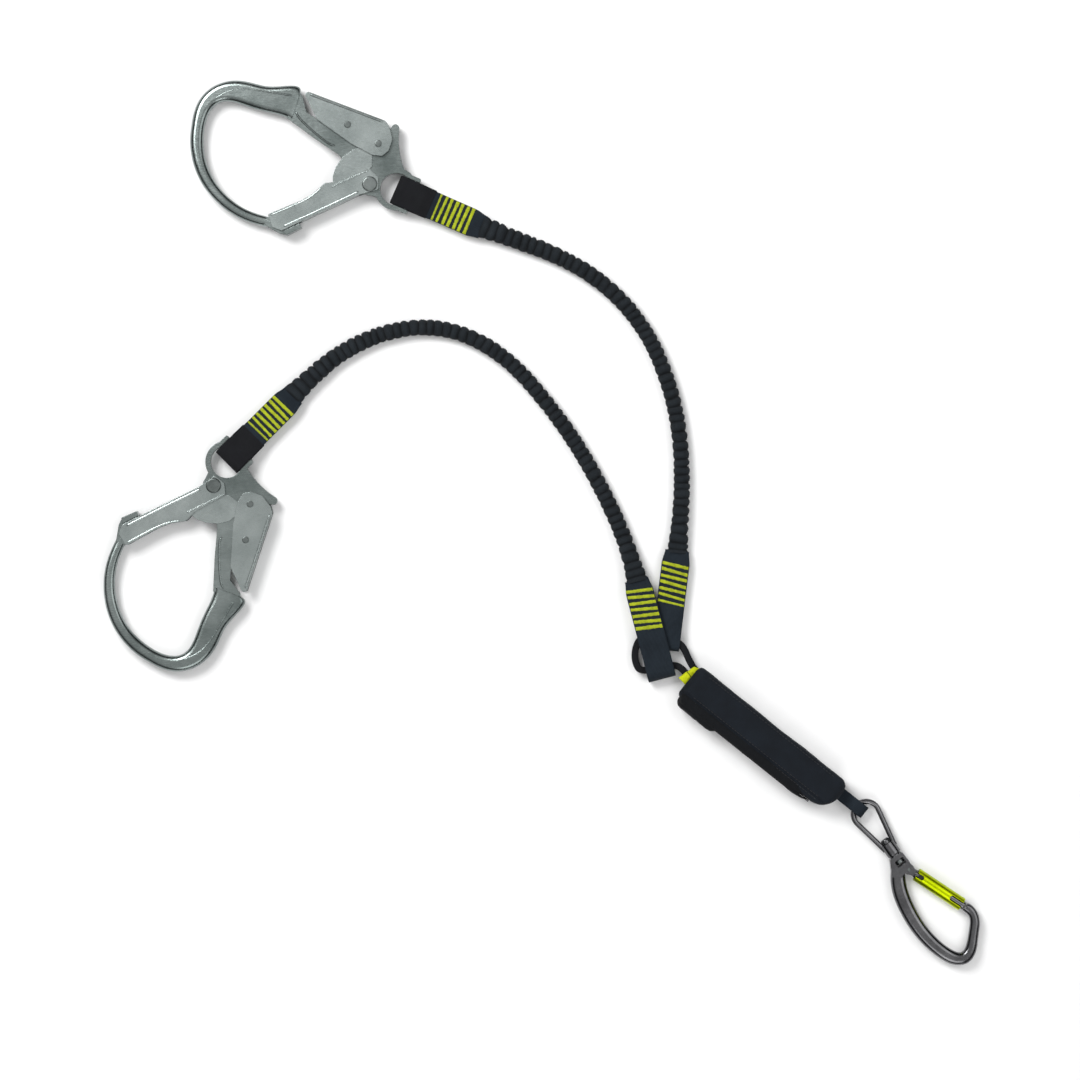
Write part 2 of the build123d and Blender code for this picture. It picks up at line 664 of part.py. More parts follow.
save(pack_cover(), "pack_cover")
save(tear_webbing(), "tear_webbing")
save(ring_strap(), "upper_ring_strap")
save(lime_liner(), "mouth_liner")
save(graphic_patch(), "cover_patch")
save(tail_loop(), "tail_loop")
strip_face = PACK_LOW_SIDE - 0.05
hook_face = strip_face - STRIP_THICK - GAP
save(side_panel(STRIP_SPAN, strip_face, STRIP_HEIGHTS, 1.0, STRIP_THICK), "loop_strip")
save(side_panel(STRIP_SPAN, hook_face, STRIP_HEIGHTS, 1.0, STRIP_THICK), "hook_strip")
save(side_panel(FLAP_SPAN, hook_face - STRIP_THICK, FLAP_HEIGHTS, 4.0, FLAP_THICK), "pack_flap")


# ---------------------------------------------------------------- swivel link
link = turned((local_point(pack, LINK_BAR + LINK_WIDE_R, TAIL_SIDE).X,
               local_point(pack, LINK_BAR + LINK_WIDE_R, TAIL_SIDE).Y), LINK_TURN, TAIL_Z)
link_end_view = Plane(origin=link.origin, x_dir=link.y_dir, z_dir=link.x_dir)
BARREL_START = 35.5
BARREL_END = 49.0
BARREL_R = 7.3
SWIVEL_R = 3.0
SWIVEL_HEAD_R = 4.6
HOUSING_START = 50.2
HOUSING_HALF = 6.3
WINDOW = (55.0, 61.5)              # window in the housing that shows the swivel's nut


def eye_link():
    """Bent bar: a wide round end for the tail strap, and two legs that close on a barrel."""
    leg_end = (41.0, 5.4)
    lean = math.atan2(leg_end[1], leg_end[0]) + math.acos(LINK_WIDE_R / math.hypot(*leg_end))
    touch = (LINK_WIDE_R * math.cos(lean), LINK_WIDE_R * math.sin(lean))
    with BuildPart() as body:
        with BuildLine(link) as wire:
            Line(leg_end, touch)
            ThreePointArc(touch, (-LINK_WIDE_R, 0.0), (touch[0], -touch[1]))
            Line((touch[0], -touch[1]), (leg_end[0], -leg_end[1]))
        with BuildSketch(Plane(origin=wire.line @ 0, z_dir=wire.line % 0)):
            Circle(LINK_BAR_R)
        sweep(path=wire.line)
        with BuildSketch(link_end_view.offset(BARREL_START)):
            Circle(BARREL_R)
        extrude(amount=BARREL_END - BARREL_START)
        fillet(body.edges().filter_by(GeomType.CIRCLE).group_by(Axis(link.origin, link.x_dir))[-1],
               radius=1.2)
        with BuildSketch(link_end_view.offset(BARREL_START - 6.0)):
            Circle(SWIVEL_HEAD_R + 0.3)
        extrude(amount=6.0, mode=Mode.SUBTRACT)
        with BuildSketch(link_end_view.offset(BARREL_START - 1.0)):
            Circle(SWIVEL_R + RUNNING)
        extrude(amount=20.0, mode=Mode.SUBTRACT)
    return body


def swivel_pin():
    """Swivel's pin: domed head inside the link, shaft through the barrel into the housing."""
    with BuildPart() as pin:
        with BuildSketch(link_end_view.offset(BARREL_START - 5.2)):
            Circle(SWIVEL_HEAD_R)
        extrude(amount=5.1)
        head = pin.edges().filter_by(GeomType.CIRCLE).sort_by(Axis(link.origin, link.x_dir))[0]
        fillet(head, radius=2.2)
        with BuildSketch(link_end_view.offset(BARREL_START - 1.0)):
            Circle(SWIVEL_R)
        extrude(amount=WINDOW[0] + 4.5 - BARREL_START + 1.0)
    return pin


def washer(start, stop, outer, inner):
    """Round washer on the swivel's axis."""
    with BuildPart() as ring:
        with BuildSketch(link_end_view.offset(start)):
            Circle(outer)
            Circle(inner, mode=Mode.SUBTRACT)
        extrude(amount=stop - start)
    return ring


save(eye_link(), "eye_link")
save(swivel_pin(), "swivel_pin")
save(washer(BARREL_END + 0.15, HOUSING_START - 0.1, 6.2, SWIVEL_R + 0.02), "thrust_washer")
save(washer(WINDOW[0] + 0.9, WINDOW[0] + 4.2, 4.3, SWIVEL_R), "swivel_nut")


# ---------------------------------------------------------------- carabiner
# Drawn in the link's frame: X runs along the swivel's axis, away from the absorber.
SPINE_SECTIONS = [        # centre along, centre across, width, thickness
    (64.0, -6.8, 14.0, 12.4),
    (72.0, -12.2, 15.0, 12.8),
    (84.0, -17.6, 15.6, 13.0),
    (99.0, -21.2, 15.6, 13.0),
    (115.0, -23.0, 15.2, 13.0),
    (131.0, -22.8, 14.6, 12.6),
    (146.0, -20.4, 14.0, 12.4),
    (159.0, -16.4, 13.6, 12.0),
    (169.0, -10.6, 13.0, 12.0),
    (173.6, -2.6, 12.4, 12.0),
    (171.0, 6.2, 11.4, 11.4),
    (164.4, 13.6, 10.4, 10.8),
    (157.0, 20.6, 10.0, 10.4),
    (149.8, 26.6, 9.8, 10.2),
    (141.6, 29.4, 9.4, 9.8),
    (132.4, 27.1, 8.4, 9.0),
]
GATE_HINGE = (69.0, 2.8)
GATE_LEAN = 20.9
GATE_LENGTH = 66.8
GATE_R = 4.4
TONGUE_HALF = 2.4
SLEEVE_START = 9.5
SLEEVE_END = 64.1
SLEEVE_R = 6.85
SLEEVE_BORE = 6.0

gate_axis = turned((local_point(link, *GATE_HINGE).X, local_point(link, *GATE_HINGE).Y),
                   LINK_TURN + GATE_LEAN, TAIL_Z)
gate_end_view = Plane(origin=gate_axis.origin, x_dir=gate_axis.y_dir, z_dir=gate_axis.x_dir)


def carabiner_body():
    """Forged body: swivel housing, spine, crown and nose in one piece."""
    with BuildPart() as body:
        for number, (along, side, width, thick) in enumerate(SPINE_SECTIONS):
            before = SPINE_SECTIONS[max(number - 1, 0)]
            after = SPINE_SECTIONS[min(number + 1, len(SPINE_SECTIONS) - 1)]
            tangent = link.x_dir * (after[0] - before[0]) + link.y_dir * (after[1] - before[1])
            cut = Plane(origin=local_point(link, along, side), x_dir=tangent.cross(link.z_dir),
                        z_dir=tangent)
            with BuildSketch(cut):
                RectangleRounded(width, thick, radius=0.42 * min(width, thick))
        loft()
        with BuildSketch(link.offset(-HOUSING_HALF)) as housing:
            with BuildLine():
                Polyline((HOUSING_START, -7.2), (HOUSING_START, 7.2), (61.0, 7.6), (66.0, 7.4),
                         (70.0, -3.0), (72.0, -10.0), (66.0, -15.0), (57.0, -11.0), close=True)
            make_face()
            with Locations(GATE_HINGE):
                Circle(5.4)
        extrude(amount=2 * HOUSING_HALF)
        outside = body.edges().filter_by(Axis(link.origin, link.z_dir))
        fillet(outside.group_by(Axis(link.origin, link.x_dir))[0], radius=2.4)
        # window for the swivel's nut, and the pin's bore
        with BuildSketch(link.offset(-HOUSING_HALF - 1)):
            with Locations(((WINDOW[0] + WINDOW[1]) / 2, 0.0)):
                RectangleRounded(WINDOW[1] - WINDOW[0], 9.8, radius=0.8)
        extrude(amount=2 * HOUSING_HALF + 2, mode=Mode.SUBTRACT)
        with BuildSketch(link_end_view.offset(HOUSING_START - 1)):
            Circle(SWIVEL_R)
        extrude(amount=WINDOW[0] - HOUSING_START + 2, mode=Mode.SUBTRACT)
        # slot between the hinge's two ears
        with BuildSketch(gate_axis.offset(-TONGUE_HALF - 0.15)):
            Circle(5.7)
            with Locations((4.0, 1.0)):
                Rectangle(8.0, 13.0)
        extrude(amount=2 * TONGUE_HALF + 0.3, mode=Mode.SUBTRACT)
        with BuildSketch(gate_axis.offset(-HOUSING_HALF - 1)):
            Circle(1.6)
        extrude(amount=2 * HOUSING_HALF + 2, mode=Mode.SUBTRACT)
    return body


def carabiner_gate():
    """Round gate bar with a flat hinge tongue and a bore for its spring."""
    with BuildPart() as gate:
        with BuildSketch(gate_end_view.offset(SLEEVE_START - 1.6)):
            Circle(GATE_R)
        extrude(amount=GATE_LENGTH - SLEEVE_START + 1.6)
        fillet(gate.edges().filter_by(GeomType.CIRCLE), radius=0.8)
        with BuildSketch(gate_axis.offset(-TONGUE_HALF)):
            Circle(4.6)
            with Locations((6.0, 0.0)):
                Rectangle(12.0, 2 * GATE_R - 1.4)
        extrude(amount=2 * TONGUE_HALF)
        with BuildSketch(gate_axis.offset(-HOUSING_HALF)):
            Circle(1.6 + RUNNING)
        extrude(amount=2 * HOUSING_HALF, mode=Mode.SUBTRACT)
        with BuildSketch(gate_end_view.offset(14.0)):
            Circle(2.6)
        extrude(amount=20.0, mode=Mode.SUBTRACT)
    return gate


def coil_along_gate(radius, wire_r, first, pitch, turns):
    """Rings of a spring round or inside the gate bar."""
    with BuildPart() as made:
        for number in range(turns):
            centre = gate_axis.origin + gate_axis.x_dir * (first + number * pitch)
            add(Solid.make_torus(radius, wire_r, Plane(origin=centre, z_dir=gate_axis.x_dir)))
    return made


def gate_tube(start, stop, outer, inner):
    """Tube on the gate's axis."""
    with BuildPart() as tube:
        with BuildSketch(gate_end_view.offset(start)):
            Circle(outer)
            Circle(inner, mode=Mode.SUBTRACT)
        extrude(amount=stop - start)
    return tube


def lock_sleeve():
    """Twist-lock sleeve with a window at each end and finely rounded rims."""
    with BuildPart() as sleeve:
        add(gate_tube(SLEEVE_START, SLEEVE_END, SLEEVE_R, SLEEVE_BORE).part)
        rims = sleeve.edges().filter_by(GeomType.CIRCLE).filter_by(
            lambda edge: edge.radius > SLEEVE_BORE + 0.1)
        fillet(rims, radius=0.5)
        with BuildSketch(gate_axis):
            with Locations((SLEEVE_START + 3.5, 0.0)):
                RectangleRounded(9.0, 4.6, radius=1.8)
            with Locations((SLEEVE_END - 6.0, 0.0)):
                RectangleRounded(17.0, 5.4, radius=2.2)
        extrude(amount=SLEEVE_R + 1, mode=Mode.SUBTRACT)
    return sleeve


save(carabiner_body(), "carabiner_body")
save(carabiner_gate(), "carabiner_gate")
hinge_pin = BuildPart()
with hinge_pin:
    add(disc(gate_axis, (0.0, 0.0), 1.6, -HOUSING_HALF + 0.2, HOUSING_HALF - 0.2))
save(hinge_pin, "carabiner_gate_pin")
save(coil_along_gate(1.9, 0.4, 15.0, 1.5, 12), "carabiner_gate_spring")
save(gate_tube(12.0, 22.0, SLEEVE_BORE - 0.05, GATE_R + 0.05), "lock_collar")
save(coil_along_gate(5.2, 0.55, 25.0, 2.2, 8), "lock_sleeve_spring")
save(lock_sleeve(), "lock_sleeve")
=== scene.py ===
import math
import random

import bpy
import bmesh
import numpy as np
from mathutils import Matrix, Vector, noise


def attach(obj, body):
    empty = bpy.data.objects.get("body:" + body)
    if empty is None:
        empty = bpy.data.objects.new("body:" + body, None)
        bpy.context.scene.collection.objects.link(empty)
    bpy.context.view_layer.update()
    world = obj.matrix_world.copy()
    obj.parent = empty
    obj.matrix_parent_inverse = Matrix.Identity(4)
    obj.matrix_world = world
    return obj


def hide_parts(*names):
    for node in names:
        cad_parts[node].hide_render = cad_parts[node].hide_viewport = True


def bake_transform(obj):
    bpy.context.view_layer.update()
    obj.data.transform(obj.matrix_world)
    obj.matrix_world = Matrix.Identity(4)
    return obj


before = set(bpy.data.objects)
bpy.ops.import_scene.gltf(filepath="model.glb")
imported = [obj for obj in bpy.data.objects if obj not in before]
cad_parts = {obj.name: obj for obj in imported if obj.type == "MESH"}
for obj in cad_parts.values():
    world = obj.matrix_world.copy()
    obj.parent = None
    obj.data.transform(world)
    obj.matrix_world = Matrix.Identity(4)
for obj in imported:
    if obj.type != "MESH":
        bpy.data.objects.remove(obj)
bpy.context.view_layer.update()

MM = 0.001

HOOK_A_EYE = (-145.5, 333.4)
HOOK_B_EYE = (-314.9, 61.0)
GATE_PIVOT = (29.1, -19.1)
GATE_TURN = -50.3
HOOK_MID_Z = 11.0

# ------------------------------------------------------------------ camera
lens = bpy.data.cameras.new("camera")
lens.lens = 135.0
lens.sensor_width = 36.0
lens.clip_start = 0.05
lens.clip_end = 30.0
camera = bpy.data.objects.new("camera", lens)
camera.location = (-0.0019, -0.0170, 4.06)
bpy.context.collection.objects.link(camera)
bpy.context.scene.camera = camera


# ------------------------------------------------------------------ mesh helpers
def new_object(name, verts, faces, uvs=None, smooth=True):
    """Mesh object; uvs holds one (u, v) in metres for each vertex."""
    mesh = bpy.data.meshes.new(name)
    mesh.from_pydata([tuple(v) for v in verts], [], faces)
    mesh.update()
    if uvs is not None:
        layer = mesh.uv_layers.new(name="along_across")
        flat = np.array([uvs[loop.vertex_index] for loop in mesh.loops], dtype=np.float32)
        layer.data.foreach_set("uv", flat.ravel())
    work = bmesh.new()
    work.from_mesh(mesh)
    bmesh.ops.recalc_face_normals(work, faces=work.faces)
    work.to_mesh(mesh)
    work.free()
    for face in mesh.polygons:
        face.use_smooth = smooth
    made = bpy.data.objects.new(name, mesh)
    bpy.context.collection.objects.link(made)
    return made


def rings_to_object(name, rings, uvs=None, closed_ends=True):
    """Closed tube from rings of points, each ring with the same number of points."""
    count = len(rings[0])
    verts = [p for ring in rings for p in ring]
    flat_uv = [p for ring in uvs for p in ring] if uvs else None
    faces = []
    for i in range(len(rings) - 1):
        for j in range(count):
            k = (j + 1) % count
            faces.append((i * count + j, i * count + k, (i + 1) * count + k, (i + 1) * count + j))
    if closed_ends:
        faces.append(tuple(range(count - 1, -1, -1)))
        faces.append(tuple((len(rings) - 1) * count + j for j in range(count)))
    return new_object(name, verts, faces, flat_uv)


def wobble(x, y, z, scale, seed=0.0):
    """Smooth noise from -1 to 1 at a size in metres."""
    return noise.noise(Vector((x / scale + seed, y / scale - seed, z / scale + 0.37 * seed)))


# ------------------------------------------------------------------ materials
class Nodes:
    """Short names for building one material's node tree."""

    def __init__(self, name):
        self.material = bpy.data.materials.new(name)
        self.material.use_nodes = True
        self.tree = self.material.node_tree
        self.shader = self.tree.nodes["Principled BSDF"]

    def node(self, kind, inputs=None, **props):
        made = self.tree.nodes.new(kind)
        for key, value in props.items():
            setattr(made, key, value)
        for key, value in (inputs or {}).items():
            self.put(made.inputs[key], value)
        return made

    def put(self, socket, value):
        if isinstance(value, bpy.types.NodeSocket):
            self.tree.links.new(value, socket)
        else:
            socket.default_value = value

    def place(self):
        return self.node("ShaderNodeTexCoord").outputs["Object"]

    def along(self):
        return self.node("ShaderNodeUVMap", uv_map="along_across").outputs["UV"]

    def noise(self, vector, scale, detail=3.0, rough=0.55):
        made = self.node("ShaderNodeTexNoise", {"Vector": vector, "Scale": scale, "Detail": detail,
                                                "Roughness": rough})
        return made.outputs["Fac"]

    def waves(self, vector, scale, direction, distortion=0.0):
        made = self.node("ShaderNodeTexWave", {"Vector": vector, "Scale": scale,
                                               "Distortion": distortion, "Detail": 1.0},
                         bands_direction=direction)
        return made.outputs["Fac"]

    def math(self, kind, a, b=0.5):
        return self.node("ShaderNodeMath", {0: a, 1: b}, operation=kind).outputs[0]

    def ramp(self, factor, stops):
        made = self.node("ShaderNodeValToRGB", {"Fac": factor})
        ramp = made.color_ramp
        while len(ramp.elements) < len(stops):
            ramp.elements.new(0.5)
        for element, (place, colour) in zip(ramp.elements, stops):
            element.position = place
            element.color = (*colour, 1.0)
        return made.outputs["Color"]

    def spread(self, factor, low, high, to_low, to_high):
        made = self.node("ShaderNodeMapRange", {"Value": factor, "From Min": low, "From Max": high,
                                                "To Min": to_low, "To Max": to_high})
        return made.outputs["Result"]

    def bump(self, height, strength, distance, under=None):
        inputs = {"Height": height, "Strength": strength, "Distance": distance}
        if under is not None:
            inputs["Normal"] = under
        return self.node("ShaderNodeBump", inputs).outputs["Normal"]

    def finish(self, colour, rough, normal=None, metallic=0.0, sheen=0.0, specular=0.25):
        self.put(self.shader.inputs["Base Color"], colour)
        self.put(self.shader.inputs["Roughness"], rough)
        self.shader.inputs["Metallic"].default_value = metallic
        self.shader.inputs["Sheen Weight"].default_value = sheen
        self.shader.inputs["Specular IOR Level"].default_value = specular
        if normal is not None:
            self.put(self.shader.inputs["Normal"], normal)
        return self.material


def metal(name, dark, light, rough, grain=1400.0, pits=0.00005, stain=0.16):
    """Metal with cloudy plating, fine grain, faint scratches and rounded catch-lights on its edges."""
    n = Nodes(name)
    place = n.place()
    clouds = n.noise(place, 30.0, 3.0, 0.5)
    fine = n.noise(place, grain, 2.0)
    stains = n.noise(place, 210.0, 4.0, 0.6)
    stretched = n.node("ShaderNodeMapping", {"Vector": place, "Rotation": (0.0, 0.0, 0.5),
                                             "Scale": (1.0, 14.0, 3.0)}).outputs["Vector"]
    scratches = n.noise(stretched, 260.0, 3.0, 0.6)
    tone = n.math("ADD", n.math("MULTIPLY", clouds, 0.70 - stain), n.math("MULTIPLY", stains, stain))
    tone = n.math("ADD", tone, n.math("MULTIPLY", scratches, 0.30))
    colour = n.ramp(tone, [(0.32, dark), (0.68, light)])
    uneven = n.math("ADD", n.math("MULTIPLY", fine, 0.3), n.math("MULTIPLY", scratches, 0.7))
    roughness = n.spread(uneven, 0.3, 0.7, rough - 0.08, rough + 0.10)
    edge = n.node("ShaderNodeBevel", {"Radius": 0.0007}, samples=4).outputs["Normal"]
    normal = n.bump(scratches, 0.22, pits * 2, n.bump(fine, 0.35, pits, edge))
    return n.finish(colour, roughness, normal, metallic=1.0, specular=0.5)


def webbing(name, dark, light, rib=0.0011, thread=0.0009, sheen=0.03, strength=0.8, painted_crease_shade=False):
    """Woven strap: ribs across it, warp threads along it; its UV map is in metres. Its last switch adds
    painted shade in the pleat creases and a painted highlight on the pleat crests.
    """
    n = Nodes(name)
    along = n.along()
    ribs = n.waves(along, 0.314 / rib, "X", 0.6)
    warp = n.waves(along, 0.314 / thread, "Y", 0.3)
    weave = n.math("MULTIPLY", ribs, n.math("ADD", n.math("MULTIPLY", warp, 0.5), 0.5))
    fuzz = n.noise(n.place(), 2600.0, 2.0)
    shade = n.noise(n.place(), 60.0, 4.0)
    tone = n.math("ADD", n.math("MULTIPLY", weave, 0.6), n.math("MULTIPLY", shade, 0.4))
    tone = n.math("ADD", tone, n.math("MULTIPLY", fuzz, 0.15))
    if painted_crease_shade:
        # painted shade in each pleat's crease (colour down to 0.25) and painted highlight on its crest (up to
        # 1.15), read from the vertex attribute
        depth = n.node("ShaderNodeAttribute", attribute_name="painted_pleat_shade").outputs["Fac"]
        tone = n.math("MULTIPLY", tone, n.spread(depth, 0.0, 1.0, 0.25, 1.15))
    colour = n.ramp(tone, [(0.22, dark), (0.85, light)])
    rough = n.spread(fuzz, 0.3, 0.7, 0.72, 0.92)
    normal = n.bump(fuzz, 0.3, 0.0002, n.bump(weave, strength, 0.0003))
    return n.finish(colour, rough, normal, sheen=sheen, specular=0.16)


def cloth(name, dark, light, thread=0.0009, sheen=0.03, strength=0.5):
    """Plain woven fabric on any shape, from its place in space."""
    n = Nodes(name)
    place = n.place()
    first = n.waves(place, 0.314 / thread, "X", 0.4)
    second = n.waves(place, 0.314 / thread, "Y", 0.4)
    weave = n.math("MAXIMUM", first, second)
    fuzz = n.noise(place, 2200.0, 2.0)
    shade = n.noise(place, 45.0, 5.0, 0.6)
    tone = n.math("ADD", n.math("MULTIPLY", weave, 0.35), n.math("MULTIPLY", shade, 0.65))
    colour = n.ramp(tone, [(0.30, dark), (0.80, light)])
    rough = n.spread(shade, 0.3, 0.7, 0.70, 0.90)
    normal = n.bump(fuzz, 0.35, 0.0002, n.bump(weave, strength, 0.00022))
    return n.finish(colour, rough, normal, sheen=sheen, specular=0.12)


def strands(name, dark, light, across=0.0008):
    """Sewing thread: close strands, seen across their UV map."""
    n = Nodes(name)
    along = n.along()
    strand = n.waves(along, 0.314 / across, "Y", 1.2)
    twist = n.noise(along, 3200.0, 3.0)
    wear = n.noise(n.place(), 240.0, 3.0)
    tone = n.math("ADD", n.math("MULTIPLY", strand, 0.55), n.math("MULTIPLY", wear, 0.45))
    colour = n.ramp(tone, [(0.18, dark), (0.60, light)])
    normal = n.bump(twist, 0.3, 0.0001, n.bump(strand, 0.7, 0.0002))
    return n.finish(colour, n.spread(twist, 0.3, 0.7, 0.45, 0.65), normal, sheen=0.15)


ZINC = metal("zinc_forging", (0.125, 0.150, 0.145), (0.285, 0.320, 0.312), 0.24, stain=0.05)
SHEET = metal("zinc_sheet", (0.225, 0.258, 0.252), (0.385, 0.425, 0.416), 0.24, stain=0.05)
RIVET = metal("rivet_steel", (0.085, 0.098, 0.095), (0.210, 0.232, 0.226), 0.30)
SPRING = metal("spring_wire", (0.160, 0.165, 0.165), (0.380, 0.390, 0.390), 0.32)
GUNMETAL = metal("gunmetal", (0.060, 0.060, 0.063), (0.190, 0.190, 0.197), 0.18)
ANODISED = metal("lime_anodised", (0.360, 0.460, 0.002), (0.560, 0.670, 0.005), 0.30)
COLLAR = metal("dark_collar", (0.020, 0.022, 0.022), (0.050, 0.052, 0.052), 0.38)
NAVY = webbing("navy_webbing", (0.003, 0.005, 0.008), (0.022, 0.032, 0.043))
BLACK = webbing("black_webbing", (0.003, 0.003, 0.004), (0.014, 0.015, 0.018), rib=0.0009)
LIME_WEB = webbing("lime_webbing", (0.420, 0.480, 0.004), (0.780, 0.840, 0.020))
# gathered webbing with painted shade in its pleat creases and painted highlight on the crests
GATHERED = webbing("gathered_webbing", (0.002, 0.003, 0.004), (0.028, 0.035, 0.042), rib=0.0008,
                   thread=0.0010, painted_crease_shade=True)
THREAD = strands("lime_thread", (0.060, 0.072, 0.003), (0.520, 0.600, 0.008))
SEAM = strands("dark_thread", (0.004, 0.004, 0.005), (0.020, 0.022, 0.026))
COVER = cloth("cover_fabric", (0.003, 0.004, 0.006), (0.013, 0.017, 0.023))
FLAP = cloth("flap_fabric", (0.002, 0.0025, 0.003), (0.009, 0.010, 0.012), thread=0.0011)
TAPE = cloth("fastener_tape", (0.002, 0.002, 0.002), (0.012, 0.012, 0.013), thread=0.0016, strength=1.0)
ENERGY = cloth("tear_fabric", (0.420, 0.420, 0.390), (0.620, 0.620, 0.580))


def dress(piece, material):
    piece.data.materials.clear()
    piece.data.materials.append(material)
    return piece


# ------------------------------------------------------------------ elastic legs
LEG_A_ROUTE = [
    (-60.9, 296.2, 11.0), (-27.5, 283.4, 8.6), (9.5, 269.9, 7.6), (45.5, 251.4, 7.6),
    (78.5, 224.4, 7.6), (105.5, 189.4, 7.6), (123.5, 149.4, 7.6), (135.5, 105.4, 7.6),
    (140.0, 59.4, 7.6), (139.3, 13.4, 7.6), (135.1, -30.0, 8.0),
]
LEG_B_ROUTE = [
    (-249.4, 126.6, 11.0), (-225.5, 151.4, 8.6), (-190.5, 176.9, 7.6), (-151.5, 192.4, 7.6),
    (-110.5, 196.9, 7.6), (-69.5, 186.4, 7.6), (-31.5, 161.4, 7.6), (1.5, 124.4, 7.6),
    (31.5, 83.4, 7.6), (56.5, 40.4, 7.6), (77.0, -2.6, 8.0), (88.5, -34.6, 10.2),
    (95.1, -59.0, 13.4),
]


def line_along(route, name):
    """Points along the smooth curve that a route's points control."""
    data = bpy.data.curves.new(name, "CURVE")
    data.dimensions = "3D"
    data.resolution_u = 40
    spline = data.splines.new("NURBS")
    spline.points.add(len(route) - 1)
    for point, place in zip(spline.points, route):
        point.co = (place[0] * MM, place[1] * MM, place[2] * MM, 1.0)
    spline.order_u = 3
    spline.use_endpoint_u = True
    holder = bpy.data.objects.new(name, data)
    bpy.context.collection.objects.link(holder)
    bpy.context.view_layer.update()
    mesh = bpy.data.meshes.new_from_object(holder)
    points = np.array([v.co[:] for v in mesh.vertices])
    bpy.data.objects.remove(holder)
    bpy.data.meshes.remove(mesh)
    return points


def respace(points, step):
    """The same line with even spacing."""
    lengths = np.concatenate(([0.0], np.cumsum(np.linalg.norm(np.diff(points, axis=0), axis=1))))
    count = max(2, int(round(lengths[-1] / step)) + 1)
    even = np.linspace(0.0, lengths[-1], count)
    return np.stack([np.interp(even, lengths, points[:, i]) for i in range(3)], axis=1), even


def gathered_leg(route, name, suffix, seed, puff_side):
    """Elastic leg: webbing gathered into uneven pleats that flare to the sewn ends."""
    rng = random.Random(seed)
    fine, places = respace(line_along(route, name + "_line"), 0.0006)
    total = places[-1]
    starts, s = [0.0], 0.0
    while s < total:
        s += rng.uniform(0.0069, 0.0097)
        starts.append(s)
    heights = [rng.uniform(0.62, 1.05) for _ in starts]
    skews = [rng.uniform(-0.45, 0.45) for _ in starts]
    count = 40
    rings, uvs, painted_crease_shade = [], [], []
    tangents = np.gradient(fine, axis=0)
    for i, centre in enumerate(fine):
        tangent = Vector(tangents[i]).normalized()
        side = Vector((0, 0, 1)).cross(tangent).normalized()
        up = tangent.cross(side)
        s = places[i]
        end = min(s, total - s)
        flare = math.exp(-((end / 0.016) ** 2))
        slack = 0.0024 * math.exp(-s / 0.055) + 0.0018 * math.exp(-(total - s) / 0.035)
        wide = 0.0071 + 0.0007 * flare + slack
        tall = 0.0066 + 0.3 * slack - 0.0036 * flare
        ring, ring_uv = [], []
        for j in range(count):
            turn = 2 * math.pi * j / count
            cell = max(0, min(len(starts) - 2, int(np.searchsorted(starts, s)) - 1))
            skew = skews[cell] * math.sin(turn + cell * 1.7) * 0.0016
            place = s + skew + 0.0011 * wobble(s, turn * 0.004, 0.0, 0.006, seed)
            cell = max(0, min(len(starts) - 2, int(np.searchsorted(starts, place)) - 1))
            share = (place - starts[cell]) / (starts[cell + 1] - starts[cell])
            share = min(1.0, max(0.0, share))
            swell = math.sin(math.pi * share ** 0.80) ** 0.62
            bias = 0.5 + 0.5 * math.cos(turn) * puff_side
            depth = (0.24 + 0.16 * bias) * heights[cell] * (1.0 - 0.45 * flare)
            crease = 0.030 * math.sin(2 * math.pi * s / 0.0021 + 2.4 * math.sin(turn * 2 + cell))
            grow = 1.07 + 0.11 * bias - depth * (1.0 - swell) + crease * (1.0 - 0.4 * flare)
            grow += 0.05 * wobble(s, turn * 0.003, 0.01, 0.011, seed + 5)
            offset = side * (wide * grow * math.cos(turn)) + up * (tall * grow * math.sin(turn))
            point = Vector(centre) + offset
            point.z = max(point.z, 0.0004)
            ring.append(point)
            painted_crease_shade.append(swell)
            ring_uv.append((s * 1.6, turn / (2 * math.pi) * 0.045))
        rings.append(ring)
        uvs.append(ring_uv)
    leg = rings_to_object(name, rings, uvs)
    # each vertex's place in its pleat, 0 in a crease and 1 on a crest, stored for the material's painted
    # shade and painted highlight
    leg.data.attributes.new("painted_pleat_shade", "FLOAT", "POINT").data.foreach_set("value", painted_crease_shade)
    dress(leg, GATHERED)
    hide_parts(f"gathered_webbing_{suffix}", f"elastic_core_{suffix}")
    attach(leg, "absorber")
    return leg


gathered_leg(LEG_A_ROUTE, "elastic_leg_a", "a", 11, 1)
gathered_leg(LEG_B_ROUTE, "elastic_leg_b", "b", 23, 1)


# ------------------------------------------------------------------ flat straps and loops
def rounded_section(width, thick, corner):
    """Points round a strap's section, (across, through)."""
    points = []
    for cx, cy, first in ((1, 1, 0), (-1, 1, 90), (-1, -1, 180), (1, -1, 270)):
        for step in range(4):
            turn = math.radians(first + 30 * step)
            points.append((cx * (width / 2 - corner) + corner * math.cos(turn),
                           cy * (thick / 2 - corner) + corner * math.sin(turn)))
    full = []
    for here, after in zip(points, points[1:] + points[:1]):
        full.append(here)
        gap = math.dist(here, after)
        steps = int(gap / 2.0)
        for n in range(1, steps):
            full.append((here[0] + (after[0] - here[0]) * n / steps,
                         here[1] + (after[1] - here[1]) * n / steps))
    return full


def arc(centre, radius, start, stop, steps=14):
    turns = [math.radians(start + (stop - start) * n / steps) for n in range(steps + 1)]
    return [(centre[0] + radius * math.cos(t), centre[1] + radius * math.sin(t)) for t in turns]


def soften(points, rounds):
    """Rounds a line's corners and keeps its ends."""
    for _ in range(rounds):
        made = [points[0]]
        for a, b in zip(points, points[1:]):
            made.append(tuple(0.75 * p + 0.25 * q for p, q in zip(a, b)))
            made.append(tuple(0.25 * p + 0.75 * q for p, q in zip(a, b)))
        made.append(points[-1])
        points = made
    return points


